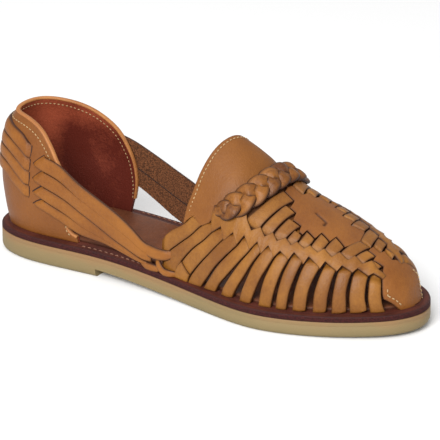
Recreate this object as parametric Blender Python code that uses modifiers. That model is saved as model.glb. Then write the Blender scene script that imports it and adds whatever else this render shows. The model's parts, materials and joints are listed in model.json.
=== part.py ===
"""Huarache sandal, right shoe, woven leather on a low rubber sole.

Working frame while building, in millimetres: x across (positive on the outer, little-toe side),
y from the back of the heel to the toe, z up from the floor. Each piece is moved by SHIFT and scaled
to metres when it is made, so that the finished shoe stands centred on the origin.
"""
import math

import bmesh
import bpy
import numpy as np

for old in list(bpy.data.objects):
    bpy.data.objects.remove(old, do_unlink=True)

# ---------------------------------------------------------------- driving sizes, mm
L = 258.0                 # sole length
RUBBER_HEEL = 11.7        # rubber top above the floor at the heel
RUBBER_BALL = 8.7         # the same under the ball
TOE_SPRING = 2.0
MIDSOLE_T = 3.4
INSOLE_T = 1.5
INSOLE_EDGE = 8.2         # insole edge, inside the sole edge
BREAST_Y, BREAST_H, ARCH_END = 72.7, 4.7, 155.0
WALL = 2.2                # woven wall
COUNTER = 2.6             # counter leather and lining together
COUNTER_EDGE = 4.8
TONGUE_T = 1.8
BRAID_H = 3.2
LIFT = 0.9                # braid over the sheet below it
GAP = 0.3
SHIFT = (-0.1, -127.85)    # puts the middle of the shoe at the origin

# sole outline: share of the length, x on the outer side, x on the inner side
SOLE = [
    (0.00, 3.5, 3.5), (0.02, 21.0, -14.5), (0.05, 26.6, -22.2), (0.10, 30.3, -28.6), (0.16, 31.0, -32.0),
    (0.25, 30.0, -32.4), (0.35, 30.2, -31.0), (0.45, 33.0, -29.4), (0.55, 37.6, -32.4), (0.62, 41.4, -37.2),
    (0.69, 43.5, -42.0), (0.76, 41.2, -43.2), (0.82, 36.4, -41.0), (0.88, 29.6, -36.0), (0.93, 22.0, -29.6),
    (0.97, 13.6, -21.5), (1.00, -3.5, -3.5)]
# how far inside the sole edge the upper stands: y, distance
FEATHER = [(0, 4.8), (78, 4.8), (98, 2.8), (122, 2.8), (148, 4.2), (170, 5.0), (260, 5.0)]
# upper over the last: y, crest height, crest x, fullness outer, fullness inner
LAST = [
    (60.0, 92.0, -1.0, 1.7, 1.7), (110.0, 90.0, -2.0, 1.8, 1.8), (130.0, 88.5, -3.0, 1.85, 1.85),
    (140.0, 86.2, -3.0, 1.85, 1.85), (150.0, 81.5, -3.5, 1.9, 1.9), (160.0, 74.5, -4.0, 2.0, 2.0),
    (170.0, 67.6, -4.5, 2.05, 2.0), (180.0, 61.6, -5.0, 2.1, 2.05), (200.0, 52.8, -6.0, 2.2, 2.1),
    (215.0, 46.6, -6.5, 2.3, 2.15), (228.0, 41.4, -6.5, 2.4, 2.2), (238.0, 36.8, -6.0, 2.4, 2.3),
    (246.0, 30.2, -5.0, 2.4, 2.4), (250.0, 23.8, -4.5, 2.4, 2.4), (252.5, 14.5, -4.0, 2.4, 2.4)]
# edges between the side strips, rear to front: station at the sole, station at the top of the slit,
# distance from the crest there, station on the middle line, width of the slit at the sole
SLITS = [
    (112.0, 131.5, 55.5, 166.5, 0.0), (117.0, 140.5, 53.0, 170.0, 0.0), (127.0, 147.5, 52.0, 174.0, 1.4),
    (136.0, 156.5, 50.0, 178.5, 1.8), (146.5, 165.0, 48.0, 185.0, 2.0), (155.0, 173.5, 45.5, 192.0, 2.2),
    (167.0, 180.5, 43.5, 199.0, 2.8), (180.0, 187.4, 41.0, 206.0, 3.0), (189.5, 195.0, 39.0, 213.0, 3.0),
    (200.5, 203.7, 37.0, 220.0, 3.2), (217.0, 215.0, 34.5, 227.5, 4.4), (232.5, 224.5, 31.0, 235.0, 4.2),
    (247.0, 233.7, 26.5, 243.0, 4.0), (258.0, 243.0, 22.0, 251.0, 4.4), (267.5, 252.5, 17.5, 259.0, 5.0)]
# middle line of the weave: station, distance from the crest line
MIDDLE = [(130.0, -4.0), (150.0, -3.0), (172.0, 3.0), (195.0, 7.0), (240.0, 7.0), (275.0, 4.0)]
ROWS_OUT = (0.0, 0.22, 0.45, 0.72, 1.0)
ROWS_IN = (0.0, 0.40, 0.80, 0.90, 1.0)
# strap band between the weave and the heel, outer side then inner side, its outer face:
# y, bottom z, x at the bottom, top z, x at the top (bottom z 0 stands for the midsole)
BAND_OUT = [(107.0, 0.0, 29.6, 28.0, 32.2), (99.0, 0.0, 29.8, 33.0, 31.6), (90.0, 18.8, 30.6, 38.6, 30.8),
            (78.0, 20.6, 30.2, 43.6, 30.0), (66.0, 21.0, 29.8, 49.2, 29.6)]
BAND_IN = [(104.0, 0.0, -27.6, 37.6, -29.4), (94.0, 0.0, -28.2, 42.0, -29.6), (84.0, 18.6, -29.0, 46.2, -29.8),
           (74.0, 24.4, -29.6, 50.6, -29.8)]
# the band round the heel: y on the base line, bottom z, top z
HEEL_OUT = [(56.0, 23.6, 54.6), (46.0, 26.8, 59.0), (36.0, 30.5, 61.8), (26.0, 36.5, 66.5), (16.0, 43.5, 72.0), (8.0, 46.8, 74.4)]
HEEL_BACK = (47.5, 75.0)
HEEL_IN = [(64.0, 29.8, 54.8), (54.0, 33.5, 58.8), (42.0, 37.2, 63.0), (30.0, 41.0, 68.0), (18.0, 45.0, 72.2), (8.0, 47.0, 74.4)]
# counter: how far its outer face stands out from its base line, at the back and at the sides
BULGE = [(14.0, 0.0, 0.0), (28.0, 2.6, 0.6), (43.0, 4.0, 0.8), (52.0, 3.6, 0.0), (60.0, 2.6, -1.4),
         (66.0, 1.4, -3.0), (72.0, -0.4, -5.0), (77.0, -3.2, -6.6), (81.0, -5.2, -8.0)]
# counter's top line from the inner front, over the back, to the outer front: side, y on the base line, z
TOPLINE = [(-1, 62.0, 34.0), (-1, 60.5, 44.0), (-1, 57.6, 52.0), (-1, 50.0, 65.5), (-1, 36.0, 74.2), (-1, 17.0, 78.4),
           (0, 0.0, 80.0), (1, 9.0, 79.2), (1, 21.0, 78.0), (1, 31.0, 74.3), (1, 38.5, 67.6), (1, 44.0, 60.4),
           (1, 48.5, 53.5), (1, 52.0, 42.0), (1, 53.0, 30.0)]
COUNTER_FRONT = (58.5, 50.5)   # base line ends: inner side, outer side
# tongue, rear edge: station, distance from the crest (outer half; the inner half mirrors about TONGUE_MID)
TONGUE_REAR = [(128.2, 57.0), (129.5, 50.5), (131.5, 42.0), (133.5, 29.0), (136.5, 15.5), (138.8, 9.0), (141.4, 2.0), (142.5, -4.0)]
TONGUE_MID = -4.0
# braid across the instep: station, distance from the crest, half width
BRAID = [(147.0, 43.0, 3.2), (151.0, 40.5, 4.4), (156.0, 36.5, 5.8), (160.5, 31.0, 6.5), (164.0, 24.0, 6.7), (166.8, 15.5, 6.7),
         (168.8, 5.0, 6.7), (169.8, -5.0, 6.7), (169.8, -12.0, 6.7), (168.3, -20.0, 6.6), (165.0, -28.5, 6.4), (160.0, -37.0, 5.8), (154.0, -44.5, 4.4), (149.5, -49.0, 3.2)]


# ---------------------------------------------------------------- curves
def closed_spline(points, n):
    """n points, evenly spaced, on a smooth closed curve through the given points"""
    P = np.asarray(points, float)
    m = len(P)
    d = np.hypot(*(np.roll(P, -1, 0) - P).T)
    t = np.r_[0, np.cumsum(d)]
    A = np.zeros((m, m))
    B = np.zeros((m, 2))
    for i in range(m):
        h0, h1 = d[i - 1], d[i]
        A[i, (i - 1) % m] += h0
        A[i, i] += 2 * (h0 + h1)
        A[i, (i + 1) % m] += h1
        B[i] = 6 * ((P[(i + 1) % m] - P[i]) / h1 - (P[i] - P[i - 1]) / h0)
    M = np.linalg.solve(A, B)
    s = np.linspace(0, t[-1], n, endpoint=False)
    k = np.clip(np.searchsorted(t, s, side="right") - 1, 0, m - 1)
    h = d[k][:, None]
    a = (t[k + 1] - s)[:, None] / h
    b = 1 - a
    return a * P[k] + b * P[(k + 1) % m] + ((a**3 - a) * M[k] + (b**3 - b) * M[(k + 1) % m]) * h * h / 6


def smooth_table(table, x, col):
    """a column of a table at x, along a monotone cubic"""
    tab = np.asarray(table, float)
    X, Y = tab[:, 0], tab[:, col]
    h = np.diff(X)
    dl = np.diff(Y) / h
    m = np.zeros(len(X))
    for i in range(1, len(X) - 1):
        if dl[i - 1] * dl[i] > 0:
            w1, w2 = 2 * h[i] + h[i - 1], h[i] + 2 * h[i - 1]
            m[i] = (w1 + w2) / (w1 / dl[i - 1] + w2 / dl[i])
    m[0], m[-1] = dl[0], dl[-1]
    x = np.clip(x, X[0], X[-1])
    k = np.clip(np.searchsorted(X, x, side="right") - 1, 0, len(X) - 2)
    t = (x - X[k]) / h[k]
    return (Y[k] * (1 + 2 * t) * (1 - t)**2 + m[k] * h[k] * t * (1 - t)**2
            + Y[k + 1] * t * t * (3 - 2 * t) + m[k + 1] * h[k] * t * t * (t - 1))


def ease(t):
    t = np.clip(t, 0, 1)
    return t * t * (3 - 2 * t)


def resample(points, n):
    """n points evenly along a polyline"""
    P = np.asarray(points, float)
    a = np.r_[0, np.cumsum(np.linalg.norm(np.diff(P, axis=0), axis=1))]
    s = np.linspace(0, a[-1], n)
    return np.stack([np.interp(s, a, P[:, k]) for k in range(P.shape[1])], 1)


# ---------------------------------------------------------------- sole
SOLE_LOOP = closed_spline([(o, f * L) for f, o, i in SOLE] + [(i, f * L) for f, o, i in SOLE[-2:0:-1]], 720)


def inset(loop, d):
    t = np.roll(loop, -1, 0) - np.roll(loop, 1, 0)
    n = np.c_[t[:, 1], -t[:, 0]]
    n /= np.linalg.norm(n, axis=1)[:, None]
    return loop - n * np.broadcast_to(d, (len(loop),))[:, None]


def sides(loop):
    """outer half and inner half of a loop, both from the heel to the toe"""
    i0, i1 = loop[:, 1].argmin(), loop[:, 1].argmax()
    r = np.roll(loop, -i0, 0)
    j = (i1 - i0) % len(loop)
    return r[:j + 1], np.vstack([r[j:], r[:1]])[::-1]


def z_rubber(y):
    y = np.asarray(y, float)
    return (RUBBER_HEEL + (RUBBER_BALL - RUBBER_HEEL) * ease((y / L - 0.22) / 0.40)
            + TOE_SPRING * np.clip((y / L - 0.70) / 0.30, 0, 1.2)**2)


def z_under(y):
    return TOE_SPRING * np.clip((np.asarray(y, float) / L - 0.70) / 0.30, 0, 1.2)**2


def z_mid(y):
    return z_rubber(y) + MIDSOLE_T


# ---------------------------------------------------------------- last surface
FEATHER_LOOP = inset(SOLE_LOOP, np.interp(SOLE_LOOP[:, 1], *np.array(FEATHER, float).T))
F_OUT, F_IN = sides(FEATHER_LOOP)
Y_FRONT = FEATHER_LOOP[:, 1].max()
FAN_Y, FAN_Z, FAN_R = 200.0, -40.0, 95.0   # sections ahead of FAN_Y turn about this axis


def last_value(x, y, z):
    """below 1 inside the upper's outer surface"""
    yc = np.clip(y, 60, Y_FRONT - 0.01)
    out, inn = np.interp(yc, F_OUT[:, 1], F_OUT[:, 0]), np.interp(yc, F_IN[:, 1], F_IN[:, 0])
    zc, xc = smooth_table(LAST, yc, 1), smooth_table(LAST, yc, 2)
    z0 = z_mid(yc)
    w = np.maximum(np.where(x >= xc, out - xc, xc - inn), 0.5)
    n = np.where(x >= xc, smooth_table(LAST, yc, 3), smooth_table(LAST, yc, 4))
    f = np.abs((x - xc) / w)**n + np.maximum((z - z0) / np.maximum(zc - z0, 0.5), 0)**n
    return np.where(y > Y_FRONT, 9.0, f)


S0, DS, B_MAX = 96.0, 2.0, 98


def chart_grid():
    """points of the surface by station s and distance b from the crest line, outer side positive"""
    S = np.arange(S0, 276 + DS / 2, DS)
    s, th = np.meshgrid(S, np.radians(np.linspace(-72, 72, 145)), indexing="ij")
    phi = np.where(s > FAN_Y, (s - FAN_Y) / FAN_R, 0.0)
    oy = np.minimum(s, FAN_Y)
    xc = smooth_table(LAST, np.clip(s, 60, 250), 2)
    dx, dy, dz = np.sin(th), np.cos(th) * np.sin(phi), np.cos(th) * np.cos(phi)
    lo, hi = np.full(s.shape, 5.0), np.full(s.shape, 260.0)
    for _ in range(26):
        m = (lo + hi) / 2
        inside = last_value(xc + dx * m, oy + dy * m, FAN_Z + dz * m) < 1
        lo, hi = np.where(inside, m, lo), np.where(inside, hi, m)
    P = np.stack([xc + dx * lo, oy + dy * lo, FAN_Z + dz * lo], -1)
    a = np.concatenate([np.zeros((len(S), 1)), np.cumsum(np.linalg.norm(np.diff(P, axis=1), axis=2), 1)], 1)
    a -= a[:, 72:73]
    B = np.arange(-B_MAX, B_MAX + 0.5)
    return S, B, np.stack([[np.interp(B, a[i], P[i, :, k]) for k in range(3)] for i in range(len(S))]).transpose(0, 2, 1)


CHART_S, CHART_B, CHART = chart_grid()


def on_chart(s, b):
    s, b = np.broadcast_arrays(np.asarray(s, float), np.asarray(b, float))
    u = np.clip((s - S0) / DS, 0, len(CHART_S) - 1.001)
    v = np.clip(b + B_MAX, 0, 2 * B_MAX - 0.001)
    i, j = u.astype(int), v.astype(int)
    fu, fv = (u - i)[..., None], (v - j)[..., None]
    return ((CHART[i, j] * (1 - fu) + CHART[i + 1, j] * fu) * (1 - fv)
            + (CHART[i, j + 1] * (1 - fu) + CHART[i + 1, j + 1] * fu) * fv)


def upper_point(s, b, out=0.0):
    """a point of the upper's surface, moved out along its normal"""
    p = on_chart(s, b)
    n = np.cross(on_chart(s + 1.5, b) - on_chart(s - 1.5, b), on_chart(s, b - 1.5) - on_chart(s, b + 1.5))
    n = n / np.maximum(np.linalg.norm(n, axis=-1), 1e-9)[..., None]
    return p + n * out


def middle_b(s):
    return float(np.interp(s, *np.array(MIDDLE).T))


def base_b(s, side):
    """distance from the crest at which the surface meets the midsole"""
    b = np.arange(1, B_MAX - 1, 0.25)
    p = on_chart(np.full(b.shape, float(s)), side * b)
    low = np.nonzero(p[:, 2] < z_mid(p[:, 1]) + GAP)[0]
    return side * (b[low[0]] if len(low) else B_MAX)


# ---------------------------------------------------------------- making objects
parts = bpy.data.collections.new("huarache_sandal")
cutters = bpy.data.collections.new("cutters")
bpy.context.scene.collection.children.link(parts)
bpy.context.scene.collection.children.link(cutters)


def material(name, colour, roughness, metallic=0.0):
    mat = bpy.data.materials.new(name)
    mat.use_nodes = True
    shader = mat.node_tree.nodes["Principled BSDF"]
    shader.inputs["Base Color"].default_value = (*colour, 1.0)
    shader.inputs["Roughness"].default_value = roughness
    shader.inputs["Metallic"].default_value = metallic
    mat.diffuse_color = (*colour, 1.0)
    return mat


def to_model(v):
    return ((v[0] + SHIFT[0]) * 0.001, (v[1] + SHIFT[1]) * 0.001, v[2] * 0.001)


def add_object(name, verts, faces, mat, collection=parts):
    mesh = bpy.data.meshes.new(name)
    mesh.from_pydata([to_model(v) for v in verts], [], faces)
    bm = bmesh.new()
    bm.from_mesh(mesh)
    bmesh.ops.recalc_face_normals(bm, faces=bm.faces[:]) if collection is cutters else None
    bm.to_mesh(mesh)
    bm.free()
    if mat:
        mesh.materials.append(mat)
    obj = bpy.data.objects.new(name, mesh)
    collection.objects.link(obj)
    return obj


def finish(obj, floor=None):
    """applies the modifiers, keeps every vertex above the floor function, cleans and shades the mesh"""
    graph = bpy.context.evaluated_depsgraph_get()
    mesh = bpy.data.meshes.new_from_object(obj.evaluated_get(graph))
    obj.modifiers.clear()
    obj.data = mesh
    bm = bmesh.new()
    bm.from_mesh(mesh)
    if floor:
        for v in bm.verts:
            v.co.z = max(v.co.z, float(floor(v.co.y * 1000 - SHIFT[1])) * 0.001)
    bmesh.ops.triangulate(bm, faces=bm.faces[:])
    bm.to_mesh(mesh)
    bm.free()
    mesh.shade_smooth()
    mesh.set_sharp_from_angle(angle=math.radians(40))
    return obj


def shell(name, verts, faces, thickness, mat, floor=None):
    """an open surface, its outer face given, thickened inwards"""
    obj = add_object(name, verts, faces, mat)
    solid = obj.modifiers.new("wall", "SOLIDIFY")
    solid.thickness = thickness * 0.001
    solid.offset = -1.0
    solid.use_even_offset = False
    solid.use_quality_normals = True
    bpy.context.view_layer.update()
    return finish(obj, floor)


def slab(name, levels, rows, mat):
    """a loft of outlines: each level is an inset and a height by y; rows pair the two sides"""
    c = (1 - np.cos(np.linspace(0, math.pi, rows))) / 2
    verts, faces, first = [], [], []
    for d, height in levels:
        out, inn = sides(inset(SOLE_LOOP, d))
        y0, y1 = out[0, 1], out[-1, 1]
        y = y0 + (y1 - y0) * c
        first.append(len(verts))
        verts += [(x, yy, height(yy)) for x, yy in zip(np.interp(y, out[:, 1], out[:, 0]), y)]
        verts += [(x, yy, height(yy)) for x, yy in zip(np.interp(y, inn[:, 1], inn[:, 0])[-2:0:-1], y[-2:0:-1])]
    n = 2 * rows - 2
    for a, b in zip(first, first[1:]):
        faces += [(a + i, a + (i + 1) % n, b + (i + 1) % n, b + i) for i in range(n)]
    for base, up in ((first[0], False), (first[-1], True)):
        for i in range(rows - 1):
            ring = [base + i, base + i + 1, base + (n - i - 1) % n, base + (n - i) % n]
            ring = [v for k, v in enumerate(ring) if v not in ring[:k]]
            faces.append(tuple(ring if up else ring[::-1]))
    return add_object(name, verts, faces, mat)


# ---------------------------------------------------------------- pieces
def make_outsole():
    def level(up):
        return lambda y: z_under(y) + up
    rubber = material("rubber", (0.50, 0.42, 0.25), 0.75)
    obj = slab("outsole", [(2.2, level(0.0)), (1.0, level(0.45)), (0.3, level(1.4)), (0.0, level(3.0)), (0.0, z_rubber)], 46, rubber)
    w = 60.0
    profile = [(BREAST_Y, -6.0), (BREAST_Y, BREAST_H), (ARCH_END, 0.0), (ARCH_END, -6.0)]
    verts = [(-w, y, z) for y, z in profile] + [(w, y, z) for y, z in profile]
    faces = [(0, 1, 2, 3), (7, 6, 5, 4), (0, 4, 5, 1), (1, 5, 6, 2), (2, 6, 7, 3), (3, 7, 4, 0)]
    cutter = add_object("shank_cutter", verts, faces, None, cutters)
    cutter.hide_render = True
    cutter.display_type = "WIRE"
    cut = obj.modifiers.new("shank", "BOOLEAN")
    cut.operation = "DIFFERENCE"
    cut.solver = "EXACT"
    cut.object = cutter
    bpy.context.view_layer.update()
    return finish(obj)


def make_midsole():
    leather = material("midsole_leather", (0.14, 0.035, 0.03), 0.55)
    obj = slab("midsole", [(0.5, lambda y: z_rubber(y) + GAP), (0.0, lambda y: z_rubber(y) + GAP + 0.5),
                           (0.0, lambda y: z_mid(y) - 0.7), (0.7, z_mid)], 46, leather)
    return finish(obj)


def make_insole():
    leather = material("insole_leather", (0.17, 0.07, 0.045), 0.6)
    obj = slab("insole", [(INSOLE_EDGE, lambda y: z_mid(y) + GAP), (INSOLE_EDGE, lambda y: z_mid(y) + GAP + INSOLE_T - 0.4),
                          (INSOLE_EDGE + 0.5, lambda y: z_mid(y) + GAP + INSOLE_T)], 40, leather)
    return finish(obj)


# base line of the counter, by arc length from the back, outer side positive
HEEL_LOOP = inset(SOLE_LOOP, COUNTER_EDGE)
_o, _i = sides(HEEL_LOOP)
_path = np.vstack([_i[_i[:, 1] < 90][::-1], _o[1:][_o[1:, 1] < 90]])
_arc = np.r_[0, np.cumsum(np.linalg.norm(np.diff(_path, axis=0), axis=1))]
_arc -= _arc[_path[:, 1].argmin()]
_tan = np.gradient(_path, _arc, axis=0)
_nor = np.c_[_tan[:, 1], -_tan[:, 0]] / np.linalg.norm(_tan, axis=1)[:, None]


def heel_arc(y, side):
    keep = (_arc * side >= 0)
    a, yy = _arc[keep], _path[keep, 1]
    order = np.argsort(yy)
    return float(np.interp(y, yy[order], a[order])) if side else 0.0


def counter_point(a, z, out=0.0):
    """the counter's outer face at arc a and height z"""
    x, y = np.interp(a, _arc, _path[:, 0]), np.interp(a, _arc, _path[:, 1])
    n = np.array([np.interp(a, _arc, _nor[:, 0]), np.interp(a, _arc, _nor[:, 1])])
    w = float(ease((abs(a) - 8) / 42))
    d = (1 - w) * smooth_table(BULGE, z, 1) + w * smooth_table(BULGE, z, 2)
    return np.array([x + n[0] * (d + out), y + n[1] * (d + out), z])


def make_counter():
    leather = material("counter_leather", (0.40, 0.17, 0.055), 0.5)
    n, m = 30, 7
    top = resample([(heel_arc(y, side), z) for side, y, z in TOPLINE], n + 1)
    base = np.linspace(heel_arc(COUNTER_FRONT[0], -1), heel_arc(COUNTER_FRONT[1], 1), n + 1)
    verts = []
    for i in range(n + 1):
        low = counter_point(base[i], 15.0)
        z0 = float(z_mid(low[1])) + GAP
        for j in range(m + 1):
            t = j / m
            verts.append(counter_point(base[i] + (top[i, 0] - base[i]) * t, z0 + (top[i, 1] - z0) * t))
    faces = [(i * (m + 1) + j, (i + 1) * (m + 1) + j, (i + 1) * (m + 1) + j + 1, i * (m + 1) + j + 1)
             for i in range(n) for j in range(m)]
    return shell("heel_counter", verts, faces, COUNTER, leather, floor=lambda y: z_mid(y) + GAP)


def make_upper():
    """the woven wall with its side strips, and the band that joins it round the heel, as one sheet"""
    leather = material("woven_leather", (0.42, 0.18, 0.06), 0.5)
    verts, faces = [], []

    def put(p):
        verts.append(tuple(p))
        return len(verts) - 1

    columns, slit = [], []
    for k, (s_base, s_top, b_top, s_mid, gap) in enumerate(SLITS):
        for sign in ((0,) if gap == 0 else (-1, 1)):
            columns.append((s_base + sign * gap / 2, s_top + sign * 0.45, b_top, s_mid + sign * 0.35, 2.6 - 0.1 * k))
            slit.append(sign == 1)
    width = len(ROWS_OUT) - 1
    rise = 4
    grid = []
    for s_base, s_top, b_top, s_mid, power in columns:
        col = []
        for side, rows in ((1, ROWS_OUT), (-1, ROWS_IN)):
            top = b_top if side > 0 else 2 * middle_b(s_top) - b_top
            low = base_b(s_base, side)
            half = [(s_base + (s_top - s_base) * f, low + (top - low) * f) for f in rows]
            for j in range(1, rise):
                t = j / rise
                half.append((s_top + (s_mid - s_top) * (1 - (1 - t)**power), top + (middle_b(s_mid) - top) * t))
            col += half if side > 0 else [(s_mid, middle_b(s_mid))] + half[::-1]
        grid.append([put(upper_point(s, b, -0.5)) for s, b in col])
    rows = len(grid[0])
    for k in range(len(grid) - 1):
        for j in range(rows - 1):
            if slit[k + 1] and (j < width or j >= rows - 1 - width):
                continue
            faces.append((grid[k][j], grid[k + 1][j], grid[k + 1][j + 1], grid[k][j + 1]))
    # toe piece: from the last strip edge round the front
    inner = FEATHER_LOOP
    a, b = np.array(verts[grid[-1][0]]), np.array(verts[grid[-1][-1]])
    front = inner[(inner[:, 1] > 225)]
    order = np.argsort(-front[:, 0])
    front = front[order]
    tip_x = (a[0] - 1.5, b[0] + 1.5)
    middle, end = [], []
    for j in range(rows):
        t = j / (rows - 1)
        x = tip_x[0] + (tip_x[1] - tip_x[0]) * t
        y = float(np.interp(-x, -front[:, 0], front[:, 1]))
        e = np.array([x, y - 0.3, float(z_mid(y)) + GAP])
        g = np.array(verts[grid[-1][j]])
        m = (g + e) / 2
        lift = math.sin(math.pi * t)
        m = m + np.array([0.0, 3.0, 3.4]) * lift
        middle.append(put(m))
        end.append(put(e))
    for left, right in ((grid[-1], middle), (middle, end)):
        for j in range(rows - 1):
            faces.append((left[j], right[j], right[j + 1], left[j + 1]))
    # band: three lines, bottom, middle and top, from the outer edge of the weave round to the inner one
    lines = [[grid[0][0], grid[0][1], grid[0][2]]]
    off = WALL + 0.9      # clear of the counter's facets

    def station(low, top):
        low, top = np.array(low), np.array(top)
        lines.append([put(low), put((low + top) / 2), put(top)])

    def flying(table):
        for y, zb, xb, zt, xt in table:
            station((xb, y, zb or float(z_mid(y)) + GAP), (xt, y, zt))

    flying(BAND_OUT)
    heel = ([(heel_arc(y, 1), zb, zt) for y, zb, zt in HEEL_OUT] + [(0.0, *HEEL_BACK)]
            + [(heel_arc(y, -1), zb, zt) for y, zb, zt in HEEL_IN[::-1]])
    heel = np.array(heel)[::-1]
    for arc in np.linspace(heel[-1, 0], heel[0, 0], 27):
        zb, zt = float(smooth_table(heel, arc, 1)), float(smooth_table(heel, arc, 2))
        low, mid, top = (counter_point(arc, z, off + d) for z, d in ((zb, 0.0), ((zb + zt) / 2, 0.6), (zt, 0.5)))
        lines.append([put(low), put(mid), put(top)])
    flying(BAND_IN[::-1])
    lines.append([grid[0][-1], grid[0][-2], grid[0][-3]])
    for p, q in zip(lines, lines[1:]):
        for j in range(2):
            faces.append((p[j], p[j + 1], q[j + 1], q[j]))
    return shell("upper", verts, faces, WALL, leather, floor=lambda y: z_mid(y) + GAP)


def make_tongue():
    leather = material("tongue_leather", (0.42, 0.19, 0.07), 0.5)
    rear = resample(TONGUE_REAR, 15)
    rear = np.vstack([rear, [(s, 2 * TONGUE_MID - b) for s, b in rear[-2::-1]]])
    n, m = len(rear) - 1, 5
    s_base, s_top, b_top, s_mid, _ = SLITS[0]
    edge = []
    for side in (1, -1):
        top = b_top if side > 0 else 2 * middle_b(s_top) - b_top
        t = np.linspace(0, 1, 5)
        half = np.c_[s_top + (s_mid - s_top) * (1 - (1 - t)**2.6), top + (middle_b(s_mid) - top) * t]
        edge.append(half if side > 0 else half[::-1][1:])
    edge = np.vstack(edge)
    edge = edge - np.c_[np.full(len(edge), 1.7), np.zeros(len(edge))]
    front = resample(edge, n + 1)
    front[0], front[-1] = (s_top - 2.4, b_top + 0.3), (s_top - 2.4, 2 * middle_b(s_top) - b_top - 0.3)
    verts = []
    for i in range(n + 1):
        for j in range(m + 1):
            s, b = rear[i] + (front[i] - rear[i]) * j / m
            verts.append(upper_point(s, b, -0.5 - 0.9 * j / m))
    faces = [(i * (m + 1) + j, i * (m + 1) + j + 1, (i + 1) * (m + 1) + j + 1, (i + 1) * (m + 1) + j)
             for i in range(n) for j in range(m)]
    return shell("tongue", verts, faces, TONGUE_T, leather)


def make_braid():
    leather = material("braid_leather", (0.40, 0.17, 0.055), 0.5)
    path = resample(BRAID, 27)
    tangent = np.gradient(path[:, :2], axis=0)
    tangent /= np.linalg.norm(tangent, axis=1)[:, None]
    across = np.c_[-tangent[:, 1], tangent[:, 0]]
    section = [(-1.0, 0.2), (-0.85, 0.75), (-0.45, 1.0), (0.45, 1.0), (0.85, 0.75), (1.0, 0.2)]
    verts, ring = [], 2 * len(section) - 2
    for (s, b, half), (cs, cb) in zip(path, across):
        for w, h in section:
            verts.append(upper_point(s + cs * half * w, b + cb * half * w, LIFT + h * BRAID_H))
        for w, h in section[-1:0:-1]:
            if w == section[-1][0]:
                verts.append(upper_point(s + cs * half * 0.96, b + cb * half * 0.96, LIFT))
            elif h == 1.0:
                verts.append(upper_point(s + cs * half * w, b + cb * half * w, LIFT))
            elif w < 0:
                verts.append(upper_point(s - cs * half * 0.96, b - cb * half * 0.96, LIFT))
    ring = len(verts) // len(path)
    faces = [(i * ring + j, i * ring + (j + 1) % ring, (i + 1) * ring + (j + 1) % ring, (i + 1) * ring + j)
             for i in range(len(path) - 1) for j in range(ring)]
    faces += [tuple(range(ring))[::-1], tuple((len(path) - 1) * ring + j for j in range(ring))]
    obj = add_object("instep_braid", verts, faces, leather)
    bm = bmesh.new()
    bm.from_mesh(obj.data)
    bmesh.ops.recalc_face_normals(bm, faces=bm.faces[:])
    bm.to_mesh(obj.data)
    bm.free()
    return finish(obj)


make_outsole()
make_midsole()
make_insole()
make_counter()
make_upper()
make_tongue()
make_braid()
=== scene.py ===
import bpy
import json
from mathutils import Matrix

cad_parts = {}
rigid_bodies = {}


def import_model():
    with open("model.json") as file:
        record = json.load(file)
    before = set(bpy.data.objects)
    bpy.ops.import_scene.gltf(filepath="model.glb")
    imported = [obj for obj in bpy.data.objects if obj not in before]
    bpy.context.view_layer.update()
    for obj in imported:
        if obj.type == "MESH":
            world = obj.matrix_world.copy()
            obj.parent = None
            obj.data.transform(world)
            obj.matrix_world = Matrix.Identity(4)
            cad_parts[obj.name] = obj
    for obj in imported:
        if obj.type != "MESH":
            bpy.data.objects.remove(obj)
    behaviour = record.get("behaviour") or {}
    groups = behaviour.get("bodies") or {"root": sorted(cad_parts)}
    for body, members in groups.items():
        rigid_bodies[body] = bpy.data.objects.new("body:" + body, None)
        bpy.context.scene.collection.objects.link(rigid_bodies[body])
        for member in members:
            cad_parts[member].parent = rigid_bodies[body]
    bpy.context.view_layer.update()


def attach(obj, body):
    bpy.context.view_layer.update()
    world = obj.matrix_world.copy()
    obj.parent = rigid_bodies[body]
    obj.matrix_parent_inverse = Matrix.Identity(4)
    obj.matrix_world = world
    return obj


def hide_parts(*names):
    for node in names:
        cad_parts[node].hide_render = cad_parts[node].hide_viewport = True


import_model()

import json
import math
import random

import bmesh
import bpy
import numpy as np
from mathutils import Matrix

random.seed(7)

# ------------------------------------------------------------------ sizes, mm (the same frame and last as the solids)
L = 258.0
RUBBER_HEEL, RUBBER_BALL, TOE_SPRING, MIDSOLE_T = 11.7, 8.7, 2.0, 3.4
INSOLE_T, INSOLE_EDGE = 1.5, 8.2
BREAST_Y, BREAST_H, ARCH_END = 72.7, 4.7, 155.0
COUNTER_EDGE = 4.8
GAP = 0.3
SHIFT = np.array([-0.1, -127.85, 0.0])
SOLE = [
    (0.00, 3.5, 3.5), (0.02, 21.0, -14.5), (0.05, 26.6, -22.2), (0.10, 30.3, -28.6), (0.16, 31.0, -32.0),
    (0.25, 30.0, -32.4), (0.35, 30.2, -31.0), (0.45, 33.0, -29.4), (0.55, 37.6, -32.4), (0.62, 41.4, -37.2),
    (0.69, 43.5, -42.0), (0.76, 41.2, -43.2), (0.82, 36.4, -41.0), (0.88, 29.6, -36.0), (0.93, 22.0, -29.6),
    (0.97, 13.6, -21.5), (1.00, -3.5, -3.5)]
FEATHER = [(0, 4.8), (78, 4.8), (98, 2.8), (122, 2.8), (148, 4.2), (170, 5.0), (260, 5.0)]
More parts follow.
